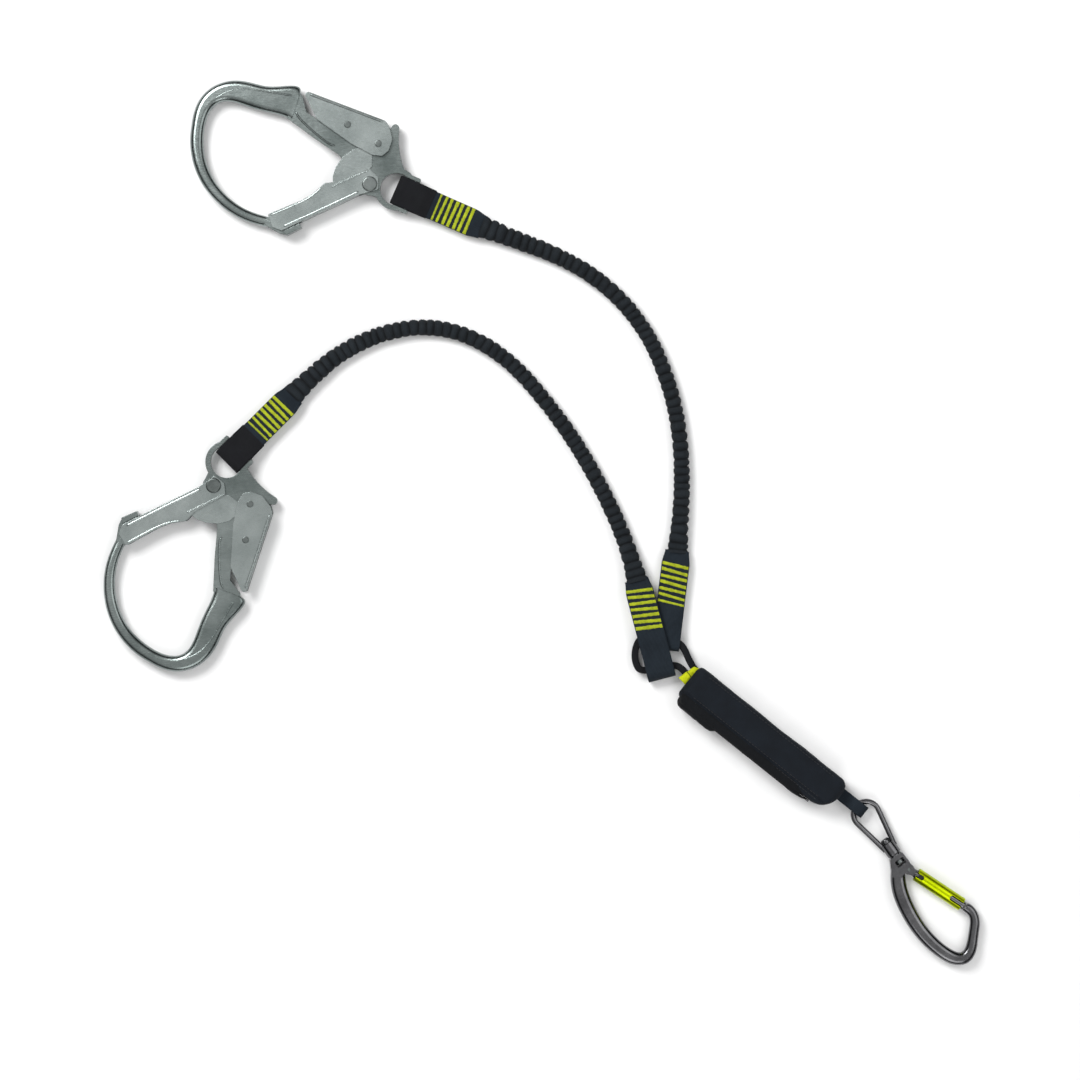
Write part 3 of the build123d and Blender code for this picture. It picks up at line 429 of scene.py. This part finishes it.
def strap(name, origin, degrees, line, width, thick, material, body, replaced,
          rounds=2, corner=0.7, waver=0.12, narrow=0.0):
    """Strap that follows a line drawn in side view: (distance along, height), in mm."""
    turn = math.radians(degrees)
    forward = Vector((math.cos(turn), math.sin(turn), 0))
    across = Vector((-math.sin(turn), math.cos(turn), 0))
    soft = np.array([(p[0], 0.0, p[1]) for p in soften([tuple(map(float, q)) for q in line], rounds)])
    places, lengths = respace(soft, 0.8)
    rings, uvs = [], []
    tangents = np.gradient(places, axis=0)
    section = rounded_section(width, thick, min(corner, 0.45 * thick))
    for i, (place, length) in enumerate(zip(places, lengths)):
        t = Vector((tangents[i][0], 0, tangents[i][2])).normalized()
        normal = Vector((-t.z, 0, t.x))
        ring, ring_uv = [], []
        inset = max(0.0, 1.0 - min(length, lengths[-1] - length) / 14.0)
        pull = 1.0 - narrow * inset * inset * (3.0 - 2.0 * inset)
        for u, v in section:
            edge = waver * wobble(length * 0.02, u * 0.02, v, 0.09, width)
            x = place[0] + normal.x * v
            z = place[2] + normal.z * v
            point = Vector(origin) + forward * x + across * (u * pull * (1 + edge * 0.03)) + Vector((0, 0, z))
            ring.append(point * MM)
            ring_uv.append((length * MM, u * MM))
        rings.append(ring)
        uvs.append(ring_uv)
    made = dress(rings_to_object(name, rings, uvs), material)
    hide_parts(*replaced)
    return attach(made, body)


THREAD_PITCH = 0.85      # mm between the threads of one row of stitching
BAR_STEPS = 5            # faces across one row
STITCH_UV_STEP = 0.00066


def bar_tack_rows(name, origin, degrees, slope, first, pitch, faces, replaced, count=7,
                  length=27.4, bar=3.5, lean=0.6, skew=0.0):
    """Rows of zigzag lime thread, on one or both faces."""
    turn = math.radians(degrees)
    forward = Vector((math.cos(turn), math.sin(turn), math.tan(slope))).normalized()
    across = Vector((-math.sin(turn), math.cos(turn), 0))
    up = forward.cross(across)
    rng = random.Random(name)
    work = bmesh.new()
    layer = work.loops.layers.uv.new("along_across")

    def patch(x_step, y_step, nx, ny, height):
        grid = []
        for a in range(nx + 1):
            row = []
            for b in range(ny + 1):
                row.append((work.verts.new(height(a, b)), (a * x_step, b * y_step)))
            grid.append(row)
        for a in range(nx):
            for b in range(ny):
                corners = (grid[a][b], grid[a + 1][b], grid[a + 1][b + 1], grid[a][b + 1])
                face = work.faces.new([c[0] for c in corners])
                face.smooth = True
                for loop, c in zip(face.loops, corners):
                    loop[layer].uv = c[1]

    for face_height in faces:
        sign = 1.0 if face_height > 0 else -1.0
        for row in range(count):
            strands_in_row = int(length / THREAD_PITCH)
            jitter = [rng.uniform(-0.28, 0.28) for _ in range(strands_in_row + 1)]
            ny = strands_in_row * 4

            def bar_point(a, b, row=row, jitter=jitter, ny=ny):
                share = b / ny
                strand = min(len(jitter) - 1, b // 4)
                ridge = abs(math.sin(math.pi * b / 4.0))
                profile = (0.0, 0.75, 1.0, 0.95, 0.75, 0.0)[a]
                x = (a / BAR_STEPS - 0.5) * (bar + jitter[strand] * 2)
                y = (share - 0.5) * length
                rise = -0.12 + profile * (0.42 + 0.24 * ridge)
                x += first + row * pitch + lean * (share - 0.5) * (1 if row % 2 else -1) + skew * y
                return (Vector(origin) + forward * x + across * y
                        + up * (face_height + sign * rise)) * MM

            patch(STITCH_UV_STEP, length * MM / ny, BAR_STEPS, ny, bar_point)
    mesh = bpy.data.meshes.new(name)
    work.to_mesh(mesh)
    work.free()
    made = bpy.data.objects.new(name, mesh)
    bpy.context.collection.objects.link(made)
    dress(made, THREAD)
    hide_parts(replaced)
    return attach(made, "absorber")


def hook_end(eye, degrees, suffix):
    """Loop round the hook's eye bar with its black wear cover and its sewn block."""
    turn = math.radians(degrees)
    bar = (eye[0] + 15.5 * math.cos(turn), eye[1] + 15.5 * math.sin(turn), 11.0)
    loop = [(79.0, -1.1), (19.0, -1.1), (9.0, -5.3)] + arc((-9.1, 0.0), 5.3, 270, 90)
    loop += [(9.0, 5.3), (19.0, 1.1), (79.0, 1.1)]
    strap(f"hook_end_strap_{suffix}", bar, degrees, loop, 28.0, 2.1, NAVY, "absorber",
          (f"hook_end_loop_{suffix}",), narrow=0.15)
    cover = [(22.5, -2.85), (19.0, -2.95), (9.0, -6.95)] + arc((-9.1, 0.0), 6.95, 270, 90)
    cover += [(9.0, 6.95), (19.0, 2.95), (22.5, 2.85)]
    strap(f"wear_cover_{suffix}", bar, degrees, cover, 29.6, 1.1, BLACK, "absorber",
          (f"wear_sleeve_{suffix}",), corner=0.5, waver=0.5)
    bar_tack_rows(f"hook_end_stitching_{suffix}", bar, degrees, 0.0, 28.4, 5.9, (2.15, -2.15),
                  f"hook_end_tacks_{suffix}")


hook_end(HOOK_A_EYE, -23.7, "a")
hook_end(HOOK_B_EYE, 45.0, "b")

low_loop = [(-2.5, 6.9), (58.0, 6.9), (74.5, 1.6)] + arc((91.9, 6.4), 5.0, -90, 90)
low_loop += [(74.5, 11.4), (56.0, 9.1), (-2.5, 9.1)]
strap("pack_end_strap_a", (135.1, -30.0, 0.0), 263.0, low_loop, 28.0, 2.1, NAVY, "absorber",
      ("pack_end_loop_a",), narrow=0.15)
high_loop = [(-2.5, 12.2), (50.0, 14.6), (78.0, 14.6), (82.6, 1.5)] + arc((91.7, 9.1), 7.7, -90, 90)
high_loop += [(79.8, 16.8), (50.0, 16.8), (-2.5, 14.4)]
strap("pack_end_strap_b", (95.1, -59.0, 0.0), 284.7, high_loop, 28.0, 2.1, NAVY, "absorber",
      ("pack_end_loop_b",), narrow=0.15)
bar_tack_rows("pack_end_stitching_a", (135.1, -30.0, 8.0), 263.0, 0.0, 12.5, 6.3, (2.15, -2.15),
              "pack_end_tacks_a", length=26.6, skew=0.14)
bar_tack_rows("pack_end_stitching_b", (95.1, -59.0, 13.4), 284.7, math.atan(2.3 / 50.0), 9.0, 6.3,
              (2.15, -2.15), "pack_end_tacks_b", length=26.6, skew=0.15)

# ------------------------------------------------------------------ absorber pack
PACK_TURN = math.radians(-38.5)
PACK_X = Vector((math.cos(PACK_TURN), math.sin(PACK_TURN), 0))
PACK_Y = Vector((-math.sin(PACK_TURN), math.cos(PACK_TURN), 0))
PACK_AT = Vector((145.1, -159.0, 0.0))


def on_pack(x, y, z):
    return (PACK_AT + PACK_X * x + PACK_Y * y + Vector((0, 0, z))) * MM


tail_bar = PACK_AT + PACK_X * 210.0 + PACK_Y * 8.0
tail_line = [(32.0, -0.9), (12.0, -0.9), (4.0, -6.2)] + arc((-3.9, 0.0), 6.2, 270, 90)
tail_line += [(4.0, 6.2), (12.0, 0.9), (32.0, 0.9)]
strap("tail_strap", (tail_bar.x, tail_bar.y, 7.5), 141.5, tail_line, 13.0, 1.7, NAVY, "absorber",
      ("tail_loop",))


def edge_strap(name, route, z, thick, tall):
    """Strap standing on edge along a smooth curve."""
    fine, places = respace(line_along([(x, y, z) for x, y in route], name + "_line"), 0.0008)
    tangents = np.gradient(fine, axis=0)
    section = rounded_section(thick, tall, 1.0)
    rings, uvs = [], []
    for i, centre in enumerate(fine):
        tangent = Vector(tangents[i]).normalized()
        side = Vector((0, 0, 1)).cross(tangent)
        rings.append([Vector(centre) + (side * u + Vector((0, 0, v))) * MM for u, v in section])
        uvs.append([(places[i], (u + v) * MM) for u, v in section])
    return dress(rings_to_object(name, rings, uvs), BLACK)


RING_ROUTE = [
    (164.0, -156.1), (153.8, -148.0), (147.0, -137.1), (141.5, -123.1), (131.0, -116.1),
    (119.5, -112.4), (107.0, -111.2), (97.0, -116.6), (93.0, -127.6), (93.3, -139.1),
    (97.9, -148.3), (113.7, -145.9), (133.3, -141.3), (141.7, -146.8), (147.6, -155.9),
    (156.5, -163.6),
]
ring = edge_strap("upper_ring", RING_ROUTE, 6.4, 6.8, 7.4)
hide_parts("upper_ring_strap")
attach(ring, "absorber")


def pack_outline(x):
    """Lower and upper side of the cover at a place along it, seen from above."""
    low, high = -16.5, 21.0
    if x < 5.0:
        step = 5.0 - math.sqrt(max(0.0, 25.0 - (5.0 - x) ** 2))
        low, high = low + step, high - 1.3 * step
    if x > 168.0:
        low += 22.0 - math.sqrt(max(0.0, 484.0 - (x - 168.0) ** 2))
    if x > 180.0:
        high -= 10.0 - math.sqrt(max(0.0, 100.0 - (x - 180.0) ** 2))
    return low, high


def pack_shell():
    """Soft sewn cover: square at the mouth, rounded off towards the tail, with a folded-over edge."""
    tall, length = 28.0, 190.0
    around, stations = 140, 260
    rings, uvs = [], []
    for i in range(stations + 1):
        turn_in = i / stations
        x = length * (0.5 - 0.5 * math.cos(math.pi * turn_in))
        low, high = pack_outline(x)
        drop = 1.0 - max(0.0, 1.0 - min(x, length - x) / 9.0) ** 2.4 * 0.55
        ring, ring_uv = [], []
        for j in range(around):
            turn = 2 * math.pi * j / around
            c, s = math.cos(turn), math.sin(turn)
            y = math.copysign(abs(c) ** 0.40, c)
            z = math.copysign(abs(s) ** 0.40, s)
            px = x
            py = (low + high) / 2 + y * (high - low) / 2
            pz = tall / 2 + z * (tall / 2) * drop
            soft = 0.9 * wobble(px, py, pz, 30.0, 2.0) + 0.35 * wobble(px, py, pz, 9.0, 8.0)
            ripple = 0.5 * math.sin(px * 0.45 + 0.8 * py) * max(0.0, wobble(px, 0, 0, 22.0, 5.0))
            settle = min(1.0, pz / 5.0)
            py += c * soft * 0.7
            pz += (s * soft + ripple) * settle * (1.0 if s > 0 else 0.3)
            if s > 0:
                pz -= 1.5 * math.exp(-((py + 9.4) / 0.9) ** 2)
            ring.append(on_pack(px, py, min(29.4, max(0.25, pz))))
            ring_uv.append((px * MM, turn * 0.018))
        rings.append(ring)
        uvs.append(ring_uv)
    return dress(rings_to_object("pack_cover_soft", rings, uvs), COVER)


shell = pack_shell()
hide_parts("pack_cover", "cover_patch")
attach(shell, "absorber")


def pack_flap():
    """Closing flap on the lower side, with a lumpy fastening tab near the mouth."""
    rings, uvs = [], []
    stations, around = 260, 60
    first, last = 3.0, 166.0
    for i in range(stations + 1):
        x = first + (last - first) * i / stations
        shut = min(1.0, (x - first) / 8.0, (last - x) / 22.0)
        shut = 0.04 + 0.96 * math.sqrt(max(0.0, 1.0 - (1.0 - shut) ** 2))
        tab = 1.0 / (1.0 + math.exp((x - 50.0) / 1.1))
        ring, ring_uv = [], []
        for j in range(around):
            turn = 2 * math.pi * j / around
            c, s = math.cos(turn), math.sin(turn)
            y = math.copysign(abs(c) ** 0.55, c)
            z = math.copysign(abs(s) ** 0.35, s)
            lump = 1.15 * wobble(x, z * 8, 0.0, 14.0, 4.0) + 0.5 * wobble(x, z * 5, 1.0, 5.0, 9.0)
            half = (1.1 + (3.9 * tab + 0.8 * lump) * (0.5 - 0.5 * c)) * shut
            py = -19.6 + 3.2 * (1.0 - shut) + y * half
            pz = 14.3 + z * 11.8 * (0.35 + 0.65 * shut)
            ring.append(on_pack(x, py, max(0.5, pz)))
            ring_uv.append((x * MM, turn * 0.009))
        rings.append(ring)
        uvs.append(ring_uv)
    made = dress(rings_to_object("pack_flap_soft", rings, uvs), FLAP)
    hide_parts("pack_flap")
    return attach(made, "flap")


def flap_fold():
    """Fabric that runs over the cover's top edge into the flap."""
    line = [(-10.6, 28.3), (-13.5, 28.9), (-16.5, 28.7), (-18.9, 27.6), (-20.3, 25.4), (-20.8, 22.0)]
    line = soften(line, 2)
    rings, uvs = [], []
    first, last, stations = 3.0, 160.0, 220
    for i in range(stations + 1):
        x = first + (last - first) * i / stations
        lift = 0.35 * wobble(x, 0, 0, 16.0, 3.0) + 0.15 * math.sin(x * 0.9)
        draw_in = max(0.0, 1.0 - (last - x) / 24.0) ** 2 + max(0.0, 1.0 - (x - first) / 5.0) ** 2
        ring, ring_uv = [], []
        for side in (1, -1):
            for n, (y, z) in enumerate(line if side > 0 else line[::-1]):
                lean = (n / (len(line) - 1)) if side > 0 else 1 - n / (len(line) - 1)
                out = 0.55 * side * min(1.0, 6 * lean, 6 * (1.02 - lean))
                ring.append(on_pack(x, y - out * lean + 5.5 * draw_in * lean,
                                    min(30.0, z + out * (1 - lean) + lift * (1 - lean)) - 4.5 * draw_in))
                ring_uv.append((x * MM, n * 0.0008))
        rings.append(ring)
        uvs.append(ring_uv)
    made = dress(rings_to_object("flap_fold", rings, uvs), FLAP)
    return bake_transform(made)


pack_flap()
flap_fold()


def running_stitch(name, points, body, material=SEAM, dash=2.6, gap=1.1, wide=0.32):
    """Separate short stitches along a line on the cover, in the pack's own frame."""
    line, lengths = respace(np.array(points, dtype=float), 0.3)
    work = bmesh.new()
    layer = work.loops.layers.uv.new("along_across")
    s = 0.0
    while s + dash < lengths[-1]:
        rows = []
        for n in range(7):
            share = n / 6
            place = [np.interp(s + dash * share, lengths, line[:, k]) for k in range(3)]
            ahead = [np.interp(s + dash * share + 0.3, lengths, line[:, k]) for k in range(3)]
            step = Vector(ahead) - Vector(place)
            side = Vector((-step.y, step.x, 0)).normalized() * wide
            lift = 0.35 * math.sin(math.pi * share) ** 0.6
            row = []
            for k in range(5):
                turn = math.pi * k / 4
                p = Vector(place) + side * math.cos(turn) + Vector((0, 0, lift * math.sin(turn) + 0.02))
                row.append(work.verts.new(on_pack(*p)))
            rows.append(row)
        for n in range(6):
            for k in range(4):
                face = work.faces.new((rows[n][k], rows[n + 1][k], rows[n + 1][k + 1], rows[n][k + 1]))
                face.smooth = True
                for loop in face.loops:
                    loop[layer].uv = (n * 0.0004, k * 0.0002)
        s += dash + gap
    mesh = bpy.data.meshes.new(name)
    work.to_mesh(mesh)
    work.free()
    made = bpy.data.objects.new(name, mesh)
    bpy.context.collection.objects.link(made)
    dress(made, material)
    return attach(made, body)


def top_of_cover(x, y):
    return 28.15 + 0.9 * wobble(x, y, 28.0, 30.0, 2.0)


for number, side in enumerate((-7.9, -11.4, 17.4)):
    row = [(x, side, top_of_cover(x, side)) for x in range(14, 178, 4)]
    running_stitch(f"cover_seam_{number}", row, "absorber")


def lime_tab(name, outline, seed, replaced):
    """Crumpled end of lime webbing at the pack's mouth, from its outline in the pack's frame."""
    work = bmesh.new()
    layer = work.loops.layers.uv.new("along_across")
    nx, ny = 28, 20
    (x0, y0), (x1, y1), (x2, y2), (x3, y3) = outline
    sides = []
    for face in (1, -1):
        grid = []
        for a in range(nx + 1):
            u = a / nx
            row = []
            for b in range(ny + 1):
                v = b / ny
                x = (x0 * (1 - u) + x1 * u) * (1 - v) + (x3 * (1 - u) + x2 * u) * v
                y = (y0 * (1 - u) + y1 * u) * (1 - v) + (y3 * (1 - u) + y2 * u) * v
                edge = min(1.0, 7 * min(u, 1 - u, v, 1 - v)) ** 0.5
                z = 11.6 + 2.2 * math.sin(math.pi * (0.1 + 0.8 * u)) + 1.3 * wobble(x, y, 0.0, 4.0, seed)
                z += face * 1.0 * edge
                row.append((work.verts.new(on_pack(x, y, z)), (x * MM, y * MM)))
            grid.append(row)
        sides.append(grid)
        for a in range(nx):
            for b in range(ny):
                corners = (grid[a][b], grid[a + 1][b], grid[a + 1][b + 1], grid[a][b + 1])
                made = work.faces.new([c[0] for c in (corners if face > 0 else corners[::-1])])
                made.smooth = True
                for loop, c in zip(made.loops, corners if face > 0 else corners[::-1]):
                    loop[layer].uv = c[1]
    bmesh.ops.remove_doubles(work, verts=work.verts, dist=0.00002)
    mesh = bpy.data.meshes.new(name)
    work.to_mesh(mesh)
    work.free()
    made = bpy.data.objects.new(name, mesh)
    bpy.context.collection.objects.link(made)
    dress(made, LIME_WEB)
    if replaced:
        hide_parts(*replaced)
    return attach(made, "absorber")


lime_tab("mouth_tab_a", [(-9.5, -2.0), (1.5, -3.5), (2.0, 6.0), (-7.0, 8.0)], 3.0, ("mouth_liner",))
lime_tab("mouth_tab_b", [(-6.5, 8.2), (2.0, 6.4), (3.0, 18.8), (-4.2, 16.5)], 7.0, ())

# ------------------------------------------------------------------ pressed details on the hooks
def hook_place(eye, degrees, over):
    """Maps a place in a hook's own frame (mm) into the row frame."""
    turn = math.radians(degrees)
    along = Vector((math.cos(turn), math.sin(turn), 0))
    side = Vector((-math.sin(turn), math.cos(turn), 0)) * (-1 if over else 1)
    base = Vector((*eye, HOOK_MID_Z))
    flip = -1.0 if over else 1.0
    return lambda x, y, z: (base + along * x + side * y + Vector((0, 0, flip * z))) * MM


def bead(name, place, line, height, wide, rise, body, material):
    """Pressed bead on both faces of a part: a low rounded ridge that runs out at its ends."""
    fine, lengths = respace(np.array([(x, y, 0.0) for x, y in soften(line, 2)], dtype=float), 0.6)
    work = bmesh.new()
    for face in (1, -1):
        rows = []
        for i, (x, y, _) in enumerate(fine):
            step = fine[min(i + 1, len(fine) - 1)] - fine[max(i - 1, 0)]
            normal = Vector((-step[1], step[0], 0)).normalized()
            share = min(lengths[i], lengths[-1] - lengths[i]) / (1.6 * wide)
            swell = math.sqrt(max(0.0, 1 - (1 - min(1.0, share)) ** 2))
            row = []
            for k in range(9):
                turn = math.pi * k / 8
                offset = normal * (wide * math.cos(turn) * max(0.25, swell))
                lift = rise * math.sin(turn) * swell - 0.05
                row.append(work.verts.new(place(x + offset.x, y + offset.y, face * (height + lift))))
            rows.append(row)
        for a, b in zip(rows, rows[1:]):
            for k in range(8):
                work.faces.new((a[k], b[k], b[k + 1], a[k + 1])).smooth = True
    bmesh.ops.recalc_face_normals(work, faces=work.faces)
    mesh = bpy.data.meshes.new(name)
    work.to_mesh(mesh)
    work.free()
    made = bpy.data.objects.new(name, mesh)
    bpy.context.collection.objects.link(made)
    dress(made, material)
    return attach(made, body)


def gate_line(points):
    """Line in the gate's frame, given in the hook's frame."""
    turn = math.radians(GATE_TURN)
    c, s = math.cos(turn), math.sin(turn)
    return [(GATE_PIVOT[0] + x * c - y * s, GATE_PIVOT[1] + x * s + y * c) for x, y in points]


for suffix, eye, degrees, over in (("a", HOOK_A_EYE, 154.5, True), ("b", HOOK_B_EYE, 256.5, False)):
    at = hook_place(eye, degrees, over)
    bead(f"gate_rib_{suffix}", at, gate_line([(2.0, 3.0), (40.0, 2.6), (84.0, 3.0)]), 8.2, 1.3, 0.7,
         f"gate_{suffix}", SHEET)
    bead(f"gate_rim_{suffix}", at, gate_line([(34.0, 22.0), (46.0, 18.4), (58.0, 17.2), (91.0, 18.4)]), 8.2,
         0.9, 0.5, f"gate_{suffix}", SHEET)
    bead(f"lever_roll_{suffix}", at, [(41.0, 54.6), (80.0, 51.4), (118.0, 48.0)], 9.65, 1.2, 0.8,
         f"lever_{suffix}", SHEET)
    bead(f"spine_rim_{suffix}", at, [(74.0, 13.0), (79.0, 11.4), (98.0, 15.6), (119.0, 22.4), (124.0, 27.0)],
         5.0, 1.1, 0.9, f"hook_{suffix}", ZINC)
    bead(f"bow_rim_{suffix}", at, [(134.0, 39.6), (152.0, 34.0), (176.0, 27.0), (192.0, 18.4), (202.0, 4.0)],
         5.9, 1.0, 0.9, f"hook_{suffix}", ZINC)

# ------------------------------------------------------------------ carried-over metal parts
FINISHES = {
    "hook_body": ZINC, "hook_gate": SHEET, "grip_lever": SHEET, "lock_plates": SHEET,
    "gate_rivet": RIVET, "lever_rivet": RIVET, "lever_stud": RIVET, "gate_spring": SPRING,
    "lever_spring": SPRING, "eye_link": GUNMETAL, "swivel_pin": GUNMETAL,
    "thrust_washer": GUNMETAL, "swivel_nut": RIVET, "carabiner_body": GUNMETAL,
    "carabiner_gate": GUNMETAL, "carabiner_gate_pin": RIVET, "carabiner_gate_spring": SPRING,
    "lock_collar": COLLAR, "lock_sleeve_spring": SPRING, "lock_sleeve": ANODISED,
    "tear_webbing": ENERGY, "loop_strip": TAPE, "hook_strip": TAPE,
}
for node_name, node_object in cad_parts.items():
    if node_object.hide_render:
        continue
    base = node_name[:-2] if node_name[-2:] in ("_a", "_b") else node_name
    dress(node_object, FINISHES[base])

# ------------------------------------------------------------------ floor and light
bpy.ops.mesh.primitive_plane_add(size=40.0, location=(0, 0, -0.0002))
floor = bpy.context.object
floor.name = "floor"
plain = Nodes("pale_floor")
grain = plain.noise(plain.place(), 30.0, 2.0)
dress(floor, plain.finish(plain.ramp(grain, [(0.3, (0.90, 0.90, 0.90)), (0.7, (0.93, 0.93, 0.93))]), 0.85))

world = bpy.data.worlds.new("studio")
world.use_nodes = True
tree = world.node_tree
sky = tree.nodes.new("ShaderNodeTexCoord")
split = tree.nodes.new("ShaderNodeSeparateXYZ")
dome = tree.nodes.new("ShaderNodeValToRGB")
tree.links.new(sky.outputs["Generated"], split.inputs["Vector"])
tree.links.new(split.outputs["Z"], dome.inputs["Fac"])
dome.color_ramp.elements[0].position = 0.46
dome.color_ramp.elements[0].color = (0.03, 0.033, 0.036, 1.0)
dome.color_ramp.elements[1].position = 0.93
dome.color_ramp.elements[1].color = (1.0, 1.0, 1.0, 1.0)
tree.links.new(dome.outputs["Color"], tree.nodes["Background"].inputs["Color"])
tree.nodes["Background"].inputs["Strength"].default_value = 0.72
bpy.context.scene.world = world
for name, place, size, power in (("key", (-1.3, 1.4, 2.2), 1.3, 70.0),
                                 ("fill", (1.7, 0.2, 2.0), 1.8, 16.0),
                                 ("low", (0.2, -1.8, 1.6), 1.4, 14.0)):
    data = bpy.data.lights.new(name, "AREA")
    data.size = size
    data.energy = power
    lamp = bpy.data.objects.new(name, data)
    lamp.location = place
    lamp.rotation_euler = (-Vector(place)).to_track_quat("-Z", "Y").to_euler()
    bpy.context.collection.objects.link(lamp)
bpy.context.scene.view_settings.view_transform = "Standard"
